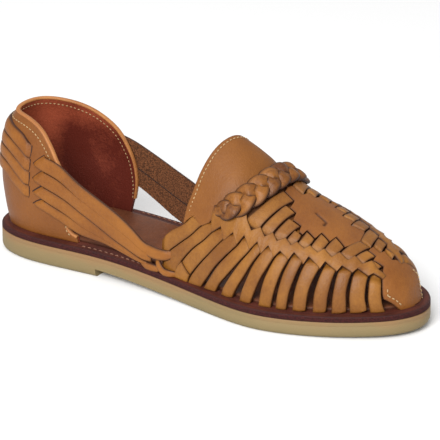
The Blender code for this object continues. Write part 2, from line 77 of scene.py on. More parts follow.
LAST = [
    (60.0, 92.0, -1.0, 1.7, 1.7), (110.0, 90.0, -2.0, 1.8, 1.8), (130.0, 88.5, -3.0, 1.85, 1.85),
    (140.0, 86.2, -3.0, 1.85, 1.85), (150.0, 81.5, -3.5, 1.9, 1.9), (160.0, 74.5, -4.0, 2.0, 2.0),
    (170.0, 67.6, -4.5, 2.05, 2.0), (180.0, 61.6, -5.0, 2.1, 2.05), (200.0, 52.8, -6.0, 2.2, 2.1),
    (215.0, 46.6, -6.5, 2.3, 2.15), (228.0, 41.4, -6.5, 2.4, 2.2), (238.0, 36.8, -6.0, 2.4, 2.3),
    (246.0, 30.2, -5.0, 2.4, 2.4), (250.0, 23.8, -4.5, 2.4, 2.4), (252.5, 14.5, -4.0, 2.4, 2.4)]

# ------------------------------------------------------------------ curves


def closed_spline(points, n):
    P = np.asarray(points, float)
    m = len(P)
    d = np.hypot(*(np.roll(P, -1, 0) - P).T)
    t = np.r_[0, np.cumsum(d)]
    A = np.zeros((m, m))
    B = np.zeros((m, 2))
    for i in range(m):
        h0, h1 = d[i - 1], d[i]
        A[i, (i - 1) % m] += h0
        A[i, i] += 2 * (h0 + h1)
        A[i, (i + 1) % m] += h1
        B[i] = 6 * ((P[(i + 1) % m] - P[i]) / h1 - (P[i] - P[i - 1]) / h0)
    K = np.linalg.solve(A, B)
    s = np.linspace(0, t[-1], n, endpoint=False)
    k = np.clip(np.searchsorted(t, s, side="right") - 1, 0, m - 1)
    h = d[k][:, None]
    a = (t[k + 1] - s)[:, None] / h
    b = 1 - a
    return a * P[k] + b * P[(k + 1) % m] + ((a**3 - a) * K[k] + (b**3 - b) * K[(k + 1) % m]) * h * h / 6


def smooth_table(table, x, col):
    tab = np.asarray(table, float)
    X, Y = tab[:, 0], tab[:, col]
    h = np.diff(X)
    dl = np.diff(Y) / h
    m = np.zeros(len(X))
    for i in range(1, len(X) - 1):
        if dl[i - 1] * dl[i] > 0:
            w1, w2 = 2 * h[i] + h[i - 1], h[i] + 2 * h[i - 1]
            m[i] = (w1 + w2) / (w1 / dl[i - 1] + w2 / dl[i])
    m[0], m[-1] = dl[0], dl[-1]
    x = np.clip(x, X[0], X[-1])
    k = np.clip(np.searchsorted(X, x, side="right") - 1, 0, len(X) - 2)
    t = (x - X[k]) / h[k]
    return (Y[k] * (1 + 2 * t) * (1 - t)**2 + m[k] * h[k] * t * (1 - t)**2
            + Y[k + 1] * t * t * (3 - 2 * t) + m[k + 1] * h[k] * t * t * (t - 1))


def ease(t):
    t = np.clip(t, 0, 1)
    return t * t * (3 - 2 * t)


def arc(P):
    return np.r_[0, np.cumsum(np.linalg.norm(np.diff(P, axis=0), axis=1))]


def resample(points, n):
    P = np.asarray(points, float)
    a = arc(P)
    s = np.linspace(0, a[-1], n) if isinstance(n, int) else np.asarray(n) * a[-1]
    return np.stack([np.interp(s, a, P[:, k]) for k in range(P.shape[1])], 1)


def smooth_line(points, n):
    """a Catmull-Rom curve through the points, n samples evenly along it"""
    P = np.asarray(points, float)
    Q = np.vstack([2 * P[0] - P[1], P, 2 * P[-1] - P[-2]])
    out = []
    for i in range(1, len(Q) - 2):
        for t in np.linspace(0, 1, 12, endpoint=(i == len(Q) - 3)):
            a, b, c, d = Q[i - 1], Q[i], Q[i + 1], Q[i + 2]
            out.append(0.5 * (2 * b + (c - a) * t + (2 * a - 5 * b + 4 * c - d) * t * t + (3 * b - 3 * c + d - a) * t**3))
    return resample(out, n)


# ------------------------------------------------------------------ sole
SOLE_LOOP = closed_spline([(o, f * L) for f, o, i in SOLE] + [(i, f * L) for f, o, i in SOLE[-2:0:-1]], 720)


def inset(loop, d):
    t = np.roll(loop, -1, 0) - np.roll(loop, 1, 0)
    n = np.c_[t[:, 1], -t[:, 0]]
    n /= np.linalg.norm(n, axis=1)[:, None]
    return loop - n * np.broadcast_to(d, (len(loop),))[:, None]


def sides(loop):
    i0, i1 = loop[:, 1].argmin(), loop[:, 1].argmax()
    r = np.roll(loop, -i0, 0)
    j = (i1 - i0) % len(loop)
    return r[:j + 1], np.vstack([r[j:], r[:1]])[::-1]


def z_rubber(y):
    y = np.asarray(y, float)
    return (RUBBER_HEEL + (RUBBER_BALL - RUBBER_HEEL) * ease((y / L - 0.22) / 0.40)
            + TOE_SPRING * np.clip((y / L - 0.70) / 0.30, 0, 1.2)**2)


def z_under(y):
    return TOE_SPRING * np.clip((np.asarray(y, float) / L - 0.70) / 0.30, 0, 1.2)**2


def z_mid(y):
    return z_rubber(y) + MIDSOLE_T


# ------------------------------------------------------------------ last surface
FEATHER_LOOP = inset(SOLE_LOOP, np.interp(SOLE_LOOP[:, 1], *np.array(FEATHER, float).T))
F_OUT, F_IN = sides(FEATHER_LOOP)
Y_FRONT = FEATHER_LOOP[:, 1].max()
FAN_Y, FAN_Z, FAN_R = 200.0, -40.0, 95.0


def last_value(x, y, z):
    yc = np.clip(y, 60, Y_FRONT - 0.01)
    out, inn = np.interp(yc, F_OUT[:, 1], F_OUT[:, 0]), np.interp(yc, F_IN[:, 1], F_IN[:, 0])
    zc, xc = smooth_table(LAST, yc, 1), smooth_table(LAST, yc, 2)
    z0 = z_mid(yc)
    w = np.maximum(np.where(x >= xc, out - xc, xc - inn), 0.5)
    n = np.where(x >= xc, smooth_table(LAST, yc, 3), smooth_table(LAST, yc, 4))
    f = np.abs((x - xc) / w)**n + np.maximum((z - z0) / np.maximum(zc - z0, 0.5), 0)**n
    return np.where(y > Y_FRONT, 9.0, f)


S0, DS, B_MAX = 96.0, 1.0, 98


def chart_grid():
    S = np.arange(S0, 277 + DS / 2, DS)
    s, th = np.meshgrid(S, np.radians(np.linspace(-74, 74, 223)), indexing="ij")
    phi = np.where(s > FAN_Y, (s - FAN_Y) / FAN_R, 0.0)
    oy = np.minimum(s, FAN_Y)
    xc = smooth_table(LAST, np.clip(s, 60, 250), 2)
    dx, dy, dz = np.sin(th), np.cos(th) * np.sin(phi), np.cos(th) * np.cos(phi)
    lo, hi = np.full(s.shape, 5.0), np.full(s.shape, 260.0)
    for _ in range(28):
        m = (lo + hi) / 2
        inside = last_value(xc + dx * m, oy + dy * m, FAN_Z + dz * m) < 1
        lo, hi = np.where(inside, m, lo), np.where(inside, hi, m)
    P = np.stack([xc + dx * lo, oy + dy * lo, FAN_Z + dz * lo], -1)
    a = np.concatenate([np.zeros((len(S), 1)), np.cumsum(np.linalg.norm(np.diff(P, axis=1), axis=2), 1)], 1)
    a -= a[:, 111:112]
    B = np.arange(-B_MAX, B_MAX + 0.5)
    return S, B, np.stack([[np.interp(B, a[i], P[i, :, k]) for k in range(3)] for i in range(len(S))]).transpose(0, 2, 1)


CHART_S, CHART_B, CHART = chart_grid()


def on_chart(s, b):
    s, b = np.broadcast_arrays(np.asarray(s, float), np.asarray(b, float))
    u = np.clip((s - S0) / DS, 0, len(CHART_S) - 1.001)
    v = np.clip(b + B_MAX, 0, 2 * B_MAX - 0.001)
    i, j = u.astype(int), v.astype(int)
    fu, fv = (u - i)[..., None], (v - j)[..., None]
    return ((CHART[i, j] * (1 - fu) + CHART[i + 1, j] * fu) * (1 - fv)
            + (CHART[i, j + 1] * (1 - fu) + CHART[i + 1, j + 1] * fu) * fv)


def surface(s, b):
    """point and outward normal of the upper's surface"""
    p = on_chart(s, b)
    n = np.cross(on_chart(s + 2.0, b) - on_chart(s - 2.0, b), on_chart(s, b - 2.0) - on_chart(s, b + 2.0))
    return p, n / np.maximum(np.linalg.norm(n, axis=-1), 1e-9)[..., None]


_bs = np.arange(96.0, 277.0, 1.0)


def _base(side):
    b = np.arange(0.5, B_MAX - 1, 0.25)
    out = []
    for s in _bs:
        p = on_chart(np.full(b.shape, s), side * b)
        low = np.nonzero(p[:, 2] < z_mid(p[:, 1]) + 0.1)[0]
        out.append(side * (b[low[0]] if len(low) else B_MAX))
    return np.array(out)


BASE_OUT, BASE_IN = _base(1), _base(-1)


def base_b(s, side):
    return np.interp(s, _bs, BASE_OUT if side > 0 else BASE_IN)


# middle line of the weave: station, distance from the crest line
MIDDLE = [(130.0, -4.0), (150.0, -3.0), (172.0, 3.0), (195.0, 7.0), (240.0, 7.0), (275.0, 4.0)]


def mirror_b(s, b):
    """the inner side's place for a line charted on the outer side"""
    mid = np.interp(s, *np.array(MIDDLE).T)
    d, D = b - mid, np.maximum(base_b(s, 1) - mid, 1.0)
    k = (mid - base_b(s, -1)) / D
    return mid - d * (1 + (k - 1) * np.clip(d / D, 0, 1)**2)


# ------------------------------------------------------------------ mesh building
class Build:
    """gathers leather pieces into one mesh, with point attributes edge, inner and tone"""

    def __init__(self):
        self.v, self.f, self.edge, self.inner, self.tone, self.sharp = [], [], [], [], [], []

    def add(self, pts, edge, inner, tone):
        first = len(self.v)
        self.v += [tuple(p) for p in pts]
        self.edge += list(np.broadcast_to(edge, (len(pts),)))
        self.inner += list(np.broadcast_to(inner, (len(pts),)))
        self.tone += list(np.broadcast_to(tone, (len(pts),)))
        return first

    def sheet(self, P, N, thick, tone=0.0, radius=0.5, edges=(1, 1, 1, 1), crown=0.0, dark=1.0, line=0.55, flip=False):
        """a grid of points given thickness inwards, its cut edges rounded: edges are (first u, last u, first v, last v)"""
        n, m = P.shape[:2]
        radius = np.broadcast_to(np.asarray(radius, float), (n, m))
        dark = np.broadcast_to(np.asarray(dark, float), (n, m))
        far = np.full((n, m), 99.0)
        du = np.concatenate([np.zeros((1, m)), np.cumsum(np.linalg.norm(np.diff(P, axis=0), axis=2), 0)], 0)
        dv = np.concatenate([np.zeros((n, 1)), np.cumsum(np.linalg.norm(np.diff(P, axis=1), axis=2), 1)], 1)
        if edges[0]:
            far = np.minimum(far, du)
        if edges[1]:
            far = np.minimum(far, du[-1:] - du)
        if edges[2]:
            far = np.minimum(far, dv)
        if edges[3]:
            far = np.minimum(far, dv[:, -1:] - dv)
        t = np.clip(1 - far / radius, 0, 1)
        drop = radius * (1 - np.sqrt(np.maximum(1 - t * t, 0)))
        vv = dv / np.maximum(dv[:, -1:], 1e-6)
        lift = crown if isinstance(crown, np.ndarray) else crown * (1 - (2 * vv - 1)**2)
        T = P + N * (lift - np.minimum(drop, thick * 0.45))[..., None]
        B = P - N * thick
        # edge: a dark band along the top face's cut edges, partly the leather's own dark cut edge and partly painted
        # shade at the crevice beside it
        a = self.add(T.reshape(-1, 3), (np.exp(-(far / (0.2 + 0.35 * line))**1.3) * line * dark).ravel(), 0.0, tone)
        b = self.add(B.reshape(-1, 3), 0.0, 1.0, tone)
        Q = []
        for i in range(n - 1):
            for j in range(m - 1):
                Q.append((a + i * m + j, a + (i + 1) * m + j, a + (i + 1) * m + j + 1, a + i * m + j + 1))
                Q.append((b + i * m + j, b + i * m + j + 1, b + (i + 1) * m + j + 1, b + (i + 1) * m + j))
        ring = ([(i, 0) for i in range(n)] + [(n - 1, j) for j in range(1, m)]
                + [(i, m - 1) for i in range(n - 2, -1, -1)] + [(0, j) for j in range(m - 2, 0, -1)])
        ring_dark = np.array([dark[i, j] for i, j in ring])
        top = [a + i * m + j for i, j in ring]
        bot = [b + i * m + j for i, j in ring]
        # the cut edge has its own middle line, so that it can be dark without darkening the face; its dark is partly
        # the cut edge's own colour, partly painted shade
        mid = self.add([(np.array(self.v[p]) * 0.6 + np.array(self.v[q]) * 0.4) for p, q in zip(top, bot)], ring_dark, 0.0, tone)
        low = self.add([(np.array(self.v[p]) * 0.15 + np.array(self.v[q]) * 0.85) for p, q in zip(top, bot)], ring_dark, 0.3, tone)
        k = len(ring)
        for i in range(k):
            j = (i + 1) % k
            Q.append((top[j], top[i], mid + i, mid + j))
            Q.append((mid + j, mid + i, low + i, low + j))
            Q.append((low + j, low + i, bot[i], bot[j]))
        self.f += [q[::-1] for q in Q] if flip else Q

    def tube(self, P, A, N, half, height, tone=0.0, sides_=10, edge=0.0):
        """an oval strand along P: A across, N outwards"""
        n = len(P)
        first = None
        for i in range(n):
            pts = []
            for k in range(sides_):
                w = 2 * math.pi * k / sides_
                c, s = math.cos(w), math.sin(w)
                c = math.copysign(abs(c)**0.75, c)
                s = math.copysign(abs(s)**0.85, s)
                pts.append(P[i] + A[i] * half[i] * c + N[i] * height[i] * s)
            # painted shade: the flanks of each strand are darkened to stand for the creases where strands press
            # together
            e = [1.15 * max(0.0, abs(math.cos(2 * math.pi * k / sides_)) - 0.55) * 2.2 for k in range(sides_)]
            a = self.add(pts, np.clip(e, 0, 1) + edge, 0.0, tone)
            first = a if first is None else first
        for i in range(n - 1):
            for k in range(sides_):
                a, b = first + i * sides_ + k, first + i * sides_ + (k + 1) % sides_
                self.f.append((a, a + sides_, b + sides_, b))
        self.f.append(tuple(first + k for k in range(sides_)))
        self.f.append(tuple(first + (n - 1) * sides_ + k for k in range(sides_))[::-1])

    def make(self, name, mat, flip=False):
        mesh = bpy.data.meshes.new(name)
        mesh.from_pydata([tuple((np.asarray(v) + SHIFT) * 0.001) for v in self.v], [], self.f)
        for key in ("edge", "inner", "tone"):
            att = mesh.attributes.new(key, "FLOAT", "POINT")
            att.data.foreach_set("value", np.array(getattr(self, key), np.float32))
        mesh.validate()
        bm = bmesh.new()
        bm.from_mesh(mesh)
        bmesh.ops.recalc_face_normals(bm, faces=bm.faces[:])
        bm.to_mesh(mesh)
        bm.free()
        mesh.shade_smooth()
        mesh.set_sharp_from_angle(angle=math.radians(50))
        mesh.materials.append(mat)
        obj = bpy.data.objects.new(name, mesh)
        bpy.context.scene.collection.objects.link(obj)
        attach(obj, "root")
        return obj


def edge_samples(n, width=8.0, soft=0.7):
    """0..1 samples, closer together near both ends"""
    r = min(soft / width, 0.2)
    inner = np.linspace(r, 1 - r, n)
    return np.r_[0, r * 0.12, r * 0.35, r * 0.65, inner, 1 - r * 0.65, 1 - r * 0.35, 1 - r * 0.12, 1]


# ------------------------------------------------------------------ materials
def leather(name, light, deep, edge=(0.055, 0.020, 0.008), suede=(0.128, 0.060, 0.028), rough=0.48, grain=1.0, patch=0.5, coat=0.0, streak=0.0):
    mat = bpy.data.materials.new(name)
    mat.use_nodes = True
    t = mat.node_tree
    nodes, links = t.nodes, t.links
    sh = nodes["Principled BSDF"]

    def node(kind, **kw):
        n = nodes.new(kind)
        for k, v in kw.items():
            setattr(n, k, v)
        return n

    tc = node("ShaderNodeTexCoord")
    big = node("ShaderNodeTexNoise")
    big.inputs["Scale"].default_value = 55.0
    big.inputs["Detail"].default_value = 4.0
    big.inputs["Roughness"].default_value = 0.55
    small = node("ShaderNodeTexNoise")
    small.inputs["Scale"].default_value = 700.0
    small.inputs["Detail"].default_value = 3.0
    pores = node("ShaderNodeTexVoronoi")
    pores.inputs["Scale"].default_value = 1500.0
    fibre = node("ShaderNodeTexNoise")
    fibre.inputs["Scale"].default_value = 1300.0
    fibre.inputs["Detail"].default_value = 5.0
    for n in (big, small, pores, fibre):
        links.new(tc.outputs["Object"], n.inputs["Vector"])
    ramp = node("ShaderNodeValToRGB")
    ramp.color_ramp.elements[0].position = 0.5 - patch * 0.35
    ramp.color_ramp.elements[1].position = 0.5 + patch * 0.35
    ramp.color_ramp.elements[0].color = (*deep, 1)
    ramp.color_ramp.elements[1].color = (*light, 1)
    mixv = node("ShaderNodeMath", operation="MULTIPLY_ADD")
    mixv.inputs[1].default_value = 0.35
    links.new(small.outputs["Fac"], mixv.inputs[0])
    sub = node("ShaderNodeMath", operation="SUBTRACT")
    links.new(big.outputs["Fac"], sub.inputs[0])
    sub.inputs[1].default_value = 0.175
    links.new(sub.outputs[0], mixv.inputs[2])
    tone = node("ShaderNodeAttribute", attribute_name="tone")
    addt = node("ShaderNodeMath", operation="MULTIPLY_ADD")
    addt.inputs[1].default_value = 0.16
    links.new(tone.outputs["Fac"], addt.inputs[0])
    links.new(mixv.outputs[0], addt.inputs[2])
    links.new(addt.outputs[0], ramp.inputs["Fac"])
    inner = node("ShaderNodeAttribute", attribute_name="inner")
    sramp = node("ShaderNodeValToRGB")
    sramp.color_ramp.elements[0].position = 0.40
    sramp.color_ramp.elements[1].position = 0.62
    sramp.color_ramp.elements[0].color = (*[c * 0.45 for c in suede], 1)
    sramp.color_ramp.elements[1].color = (*[min(c * 1.35, 1) for c in suede], 1)
    links.new(fibre.outputs["Fac"], sramp.inputs["Fac"])
    m1 = node("ShaderNodeMix", data_type="RGBA")
    links.new(inner.outputs["Fac"], m1.inputs["Factor"])
    links.new(ramp.outputs["Color"], m1.inputs["A"])
    links.new(sramp.outputs["Color"], m1.inputs["B"])
    edge_a = node("ShaderNodeAttribute", attribute_name="edge")
    m2 = node("ShaderNodeMix", data_type="RGBA")
    links.new(edge_a.outputs["Fac"], m2.inputs["Factor"])
    links.new(m1.outputs["Result"], m2.inputs["A"])
    m2.inputs["B"].default_value = (*edge, 1)
    links.new(m2.outputs["Result"], sh.inputs["Base Color"])
    rr = node("ShaderNodeMapRange")
    rr.inputs["To Min"].default_value = rough - 0.07
    rr.inputs["To Max"].default_value = rough + 0.12
    links.new(big.outputs["Fac"], rr.inputs["Value"])
    rmax = node("ShaderNodeMath", operation="MAXIMUM")
    rin = node("ShaderNodeMath", operation="MULTIPLY")
    rin.inputs[1].default_value = 0.92
    links.new(inner.outputs["Fac"], rin.inputs[0])
    links.new(rr.outputs["Result"], rmax.inputs[0])
    links.new(rin.outputs[0], rmax.inputs[1])
    links.new(rmax.outputs[0], sh.inputs["Roughness"])
    sh.inputs["Specular IOR Level"].default_value = 0.28
    sh.inputs["Coat Weight"].default_value = coat
    sh.inputs["Coat Roughness"].default_value = 0.3
    h = node("ShaderNodeMath", operation="MULTIPLY_ADD")
    h.inputs[1].default_value = 0.5
    links.new(pores.outputs["Distance"], h.inputs[0])
    links.new(small.outputs["Fac"], h.inputs[2])
    h2 = node("ShaderNodeMath", operation="MULTIPLY_ADD")
    links.new(fibre.outputs["Fac"], h2.inputs[0])
    hm = node("ShaderNodeMath", operation="MULTIPLY_ADD")
    hm.inputs[1].default_value = 2.6
    hm.inputs[2].default_value = 0.5
    links.new(inner.outputs["Fac"], hm.inputs[0])
    links.new(hm.outputs[0], h2.inputs[1])
    links.new(h.outputs[0], h2.inputs[2])
    bump = node("ShaderNodeBump")
    bump.inputs["Strength"].default_value = 0.35 * grain
    bump.inputs["Distance"].default_value = 0.0005
    links.new(h2.outputs[0], bump.inputs["Height"])
    links.new(bump.outputs["Normal"], sh.inputs["Normal"])
    return mat


TAN_L, TAN_D = (0.264, 0.106, 0.0150), (0.158, 0.054, 0.0070)
MAT_WEAVE = leather("woven_leather_look", TAN_L, TAN_D, patch=0.62, edge=(0.035, 0.010, 0.004), rough=0.44)
MAT_PANEL = leather("panel_leather_look", (0.232, 0.081, 0.0118), (0.155, 0.048, 0.0068), patch=0.7, edge=(0.035, 0.010, 0.004), rough=0.46)
MAT_TONGUE = leather("tongue_leather_look", (0.200, 0.0700, 0.0100), (0.150, 0.048, 0.0065), patch=0.8, edge=(0.04, 0.012, 0.005), rough=0.48)
MAT_STRAP = leather("strap_leather_look", (0.252, 0.089, 0.0112), (0.172, 0.0535, 0.0064), patch=0.6, edge=(0.035, 0.010, 0.004), suede=(0.140, 0.051, 0.019), rough=0.46)
MAT_COUNTER = leather("counter_leather_look", (0.200, 0.067, 0.0105), (0.146, 0.045, 0.0066), patch=0.8, edge=(0.04, 0.012, 0.005), suede=(0.2, 0.03, 0.02), rough=0.47)
MAT_RIM = leather("rim_leather_look", (0.40, 0.165, 0.050), (0.28, 0.10, 0.028), patch=0.6, edge=(0.10, 0.035, 0.012))
MAT_LINING = leather("lining_look", (0.300, 0.062, 0.027), (0.095, 0.013, 0.0062), patch=0.8, rough=0.55, edge=(0.06, 0.015, 0.01))
MAT_MIDSOLE = leather("midsole_look", (0.098, 0.020, 0.0095), (0.046, 0.008, 0.0035), patch=0.6, rough=0.62, edge=(0.018, 0.0035, 0.0030), suede=(0.046, 0.0065, 0.0055), coat=0.0)
MAT_INSOLE = leather("insole_look", (0.182, 0.060, 0.024), (0.100, 0.031, 0.0125), patch=0.6, rough=0.5, edge=(0.05, 0.018, 0.012))
MAT_BACKING = leather("backing_look", (0.16, 0.058, 0.018), (0.09, 0.030, 0.010), patch=0.6, rough=0.6)
MAT_BRAID = leather("braid_leather_look", (0.225, 0.082, 0.0115), (0.090, 0.026, 0.0035), patch=0.42, edge=(0.026, 0.007, 0.0025), rough=0.42)


def thread_material(name, deep, light):
    mat = bpy.data.materials.new(name)
    mat.use_nodes = True
    n, l = mat.node_tree.nodes, mat.node_tree.links
    sh = n["Principled BSDF"]
    tc = n.new("ShaderNodeTexCoord")
    w = n.new("ShaderNodeTexWave")
    w.inputs["Scale"].default_value = 900.0
    w.inputs["Distortion"].default_value = 2.0
    l.new(tc.outputs["Object"], w.inputs["Vector"])
    r = n.new("ShaderNodeValToRGB")
    r.color_ramp.elements[0].color = (*deep, 1)
    r.color_ramp.elements[1].color = (*light, 1)
    l.new(w.outputs["Fac"], r.inputs["Fac"])
    l.new(r.outputs["Color"], sh.inputs["Base Color"])
    b = n.new("ShaderNodeBump")
    b.inputs["Strength"].default_value = 0.4
    b.inputs["Distance"].default_value = 0.0003
    l.new(w.outputs["Fac"], b.inputs["Height"])
    l.new(b.outputs["Normal"], sh.inputs["Normal"])
    sh.inputs["Roughness"].default_value = 0.75
    return mat


MAT_THREAD = thread_material("thread_look", (0.28, 0.165, 0.070), (0.50, 0.35, 0.18))
MAT_WELT_THREAD = thread_material("welt_thread_look", (0.15, 0.060, 0.035), (0.30, 0.14, 0.085))


def rubber_material():
    mat = bpy.data.materials.new("rubber_look")
    mat.use_nodes = True
    n, l = mat.node_tree.nodes, mat.node_tree.links
    sh = n["Principled BSDF"]
    tc = n.new("ShaderNodeTexCoord")
    sep = n.new("ShaderNodeSeparateXYZ")
    l.new(tc.outputs["Object"], sep.inputs[0])
    noise = n.new("ShaderNodeTexNoise")
    noise.inputs["Scale"].default_value = 45.0
    noise.inputs["Detail"].default_value = 4.0
    l.new(tc.outputs["Object"], noise.inputs["Vector"])
    fine = n.new("ShaderNodeTexNoise")
    fine.inputs["Scale"].default_value = 900.0
    fine.inputs["Detail"].default_value = 4.0
    stretch = n.new("ShaderNodeMapping")
    stretch.inputs["Scale"].default_value = (1.0, 1.0, 3.5)
    l.new(tc.outputs["Object"], stretch.inputs["Vector"])
    l.new(stretch.outputs["Vector"], fine.inputs["Vector"])
    # honey near the top of the wall, greyer cream towards the floor
    zr = n.new("ShaderNodeMapRange")
    zr.inputs["From Min"].default_value = 0.001
    zr.inputs["From Max"].default_value = 0.0115
    l.new(sep.outputs["Z"], zr.inputs["Value"])
    add = n.new("ShaderNodeMath")
    add.operation = "MULTIPLY_ADD"
    add.inputs[1].default_value = 0.7
    l.new(noise.outputs["Fac"], add.inputs[0])
    sub = n.new("ShaderNodeMath")
    sub.operation = "SUBTRACT"
    sub.inputs[1].default_value = 0.35
    l.new(zr.outputs["Result"], sub.inputs[0])
    l.new(sub.outputs[0], add.inputs[2])
    ramp = n.new("ShaderNodeValToRGB")
    e = ramp.color_ramp.elements
    e[0].position, e[0].color = 0.0, (0.190, 0.145, 0.064, 1)
    e[1].position, e[1].color = 1.0, (0.255, 0.140, 0.058, 1)
    mid = ramp.color_ramp.elements.new(0.55)
    mid.color = (0.212, 0.150, 0.066, 1)
    l.new(add.outputs[0], ramp.inputs["Fac"])
    l.new(ramp.outputs["Color"], sh.inputs["Base Color"])
    sh.inputs["Roughness"].default_value = 0.62
    sh.inputs["Specular IOR Level"].default_value = 0.35
    b = n.new("ShaderNodeBump")
    b.inputs["Strength"].default_value = 0.45
    b.inputs["Distance"].default_value = 0.0006
    l.new(fine.outputs["Fac"], b.inputs["Height"])
    l.new(b.outputs["Normal"], sh.inputs["Normal"])
    return mat


MAT_RUBBER = rubber_material()


# ------------------------------------------------------------------ stitches
def stitches(name, rows, mat=MAT_THREAD):
    """rows: (points, normals, stitch length, pitch, radius); each stitch is a short rounded bar sunk at its ends"""
    verts, faces = [], []
    for P, N, length, pitch, rad in rows:
        P, N = np.asarray(P, float), np.asarray(N, float)
        a = arc(P)
        for c in np.arange(pitch / 2, a[-1] - pitch / 3, pitch):
            at = [np.array([np.interp(c + o * length, a, P[:, k]) for k in range(3)]) for o in (-0.5, 0.0, 0.5)]
            n = np.array([np.interp(c, a, N[:, k]) for k in range(3)])
            n /= np.linalg.norm(n)
            t = at[2] - at[0]
            t /= max(np.linalg.norm(t), 1e-6)
            x = np.cross(n, t)
            first = len(verts)
            for f, r, h in ((0.0, 0.35, -0.35), (0.12, 0.85, 0.05), (0.35, 1.0, 0.32), (0.65, 1.0, 0.32), (0.88, 0.85, 0.05), (1.0, 0.35, -0.35)):
                p = at[0] + (at[2] - at[0]) * f + n * h * rad * 1.6
                for k in range(6):
                    w = 2 * math.pi * k / 6
                    verts.append(p + (x * math.cos(w) + n * math.sin(w) * 0.8) * rad * r)
            for i in range(5):
                for k in range(6):
                    p, q = first + i * 6 + k, first + i * 6 + (k + 1) % 6
                    faces.append((p, q, q + 6, p + 6))
            faces.append(tuple(first + k for k in range(6))[::-1])
            faces.append(tuple(first + 30 + k for k in range(6)))
    mesh = bpy.data.meshes.new(name)
    mesh.from_pydata([tuple((v + SHIFT) * 0.001) for v in verts], [], faces)
    bm = bmesh.new()
    bm.from_mesh(mesh)
    bmesh.ops.recalc_face_normals(bm, faces=bm.faces[:])
    bm.to_mesh(mesh)
    bm.free()
    mesh.shade_smooth()
    mesh.materials.append(mat)
    obj = bpy.data.objects.new(name, mesh)
    bpy.context.scene.collection.objects.link(obj)
    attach(obj, "root")
    return obj


# ------------------------------------------------------------------ sole pieces
def slab(name, levels, rows, mat, node):
    c = (1 - np.cos(np.linspace(0, math.pi, rows))) / 2
    verts, faces, first, edge, inner = [], [], [], [], []
    for d, height, e, inn_ in levels:
        out, inn = sides(inset(SOLE_LOOP, d))
        y0, y1 = out[0, 1], out[-1, 1]
        y = y0 + (y1 - y0) * c
        first.append(len(verts))
        verts += [(x, yy, float(height(yy))) for x, yy in zip(np.interp(y, out[:, 1], out[:, 0]), y)]
        verts += [(x, yy, float(height(yy))) for x, yy in zip(np.interp(y, inn[:, 1], inn[:, 0])[-2:0:-1], y[-2:0:-1])]
        edge += [e] * (2 * rows - 2)
        inner += [inn_] * (2 * rows - 2)
    n = 2 * rows - 2
    for a, b in zip(first, first[1:]):
        faces += [(a + i, a + (i + 1) % n, b + (i + 1) % n, b + i) for i in range(n)]
    for base, up in ((first[0], False), (first[-1], True)):
        for i in range(rows - 1):
            ring = [base + i, base + i + 1, base + (n - i - 1) % n, base + (n - i) % n]
            ring = [v for k, v in enumerate(ring) if v not in ring[:k]]
            faces.append(tuple(ring if up else ring[::-1]))
    mesh = bpy.data.meshes.new(name)
    mesh.from_pydata([tuple((np.array(v) + SHIFT) * 0.001) for v in verts], [], faces)
    for key, val in (("edge", edge), ("inner", inner), ("tone", [0.0] * len(verts))):
        mesh.attributes.new(key, "FLOAT", "POINT").data.foreach_set("value", np.array(val, np.float32))
    mesh.shade_smooth()
    mesh.set_sharp_from_angle(angle=math.radians(38))
    mesh.materials.append(mat)
    obj = bpy.data.objects.new(name, mesh)
    bpy.context.scene.collection.objects.link(obj)
    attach(obj, "root")
    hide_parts(node)
    return obj


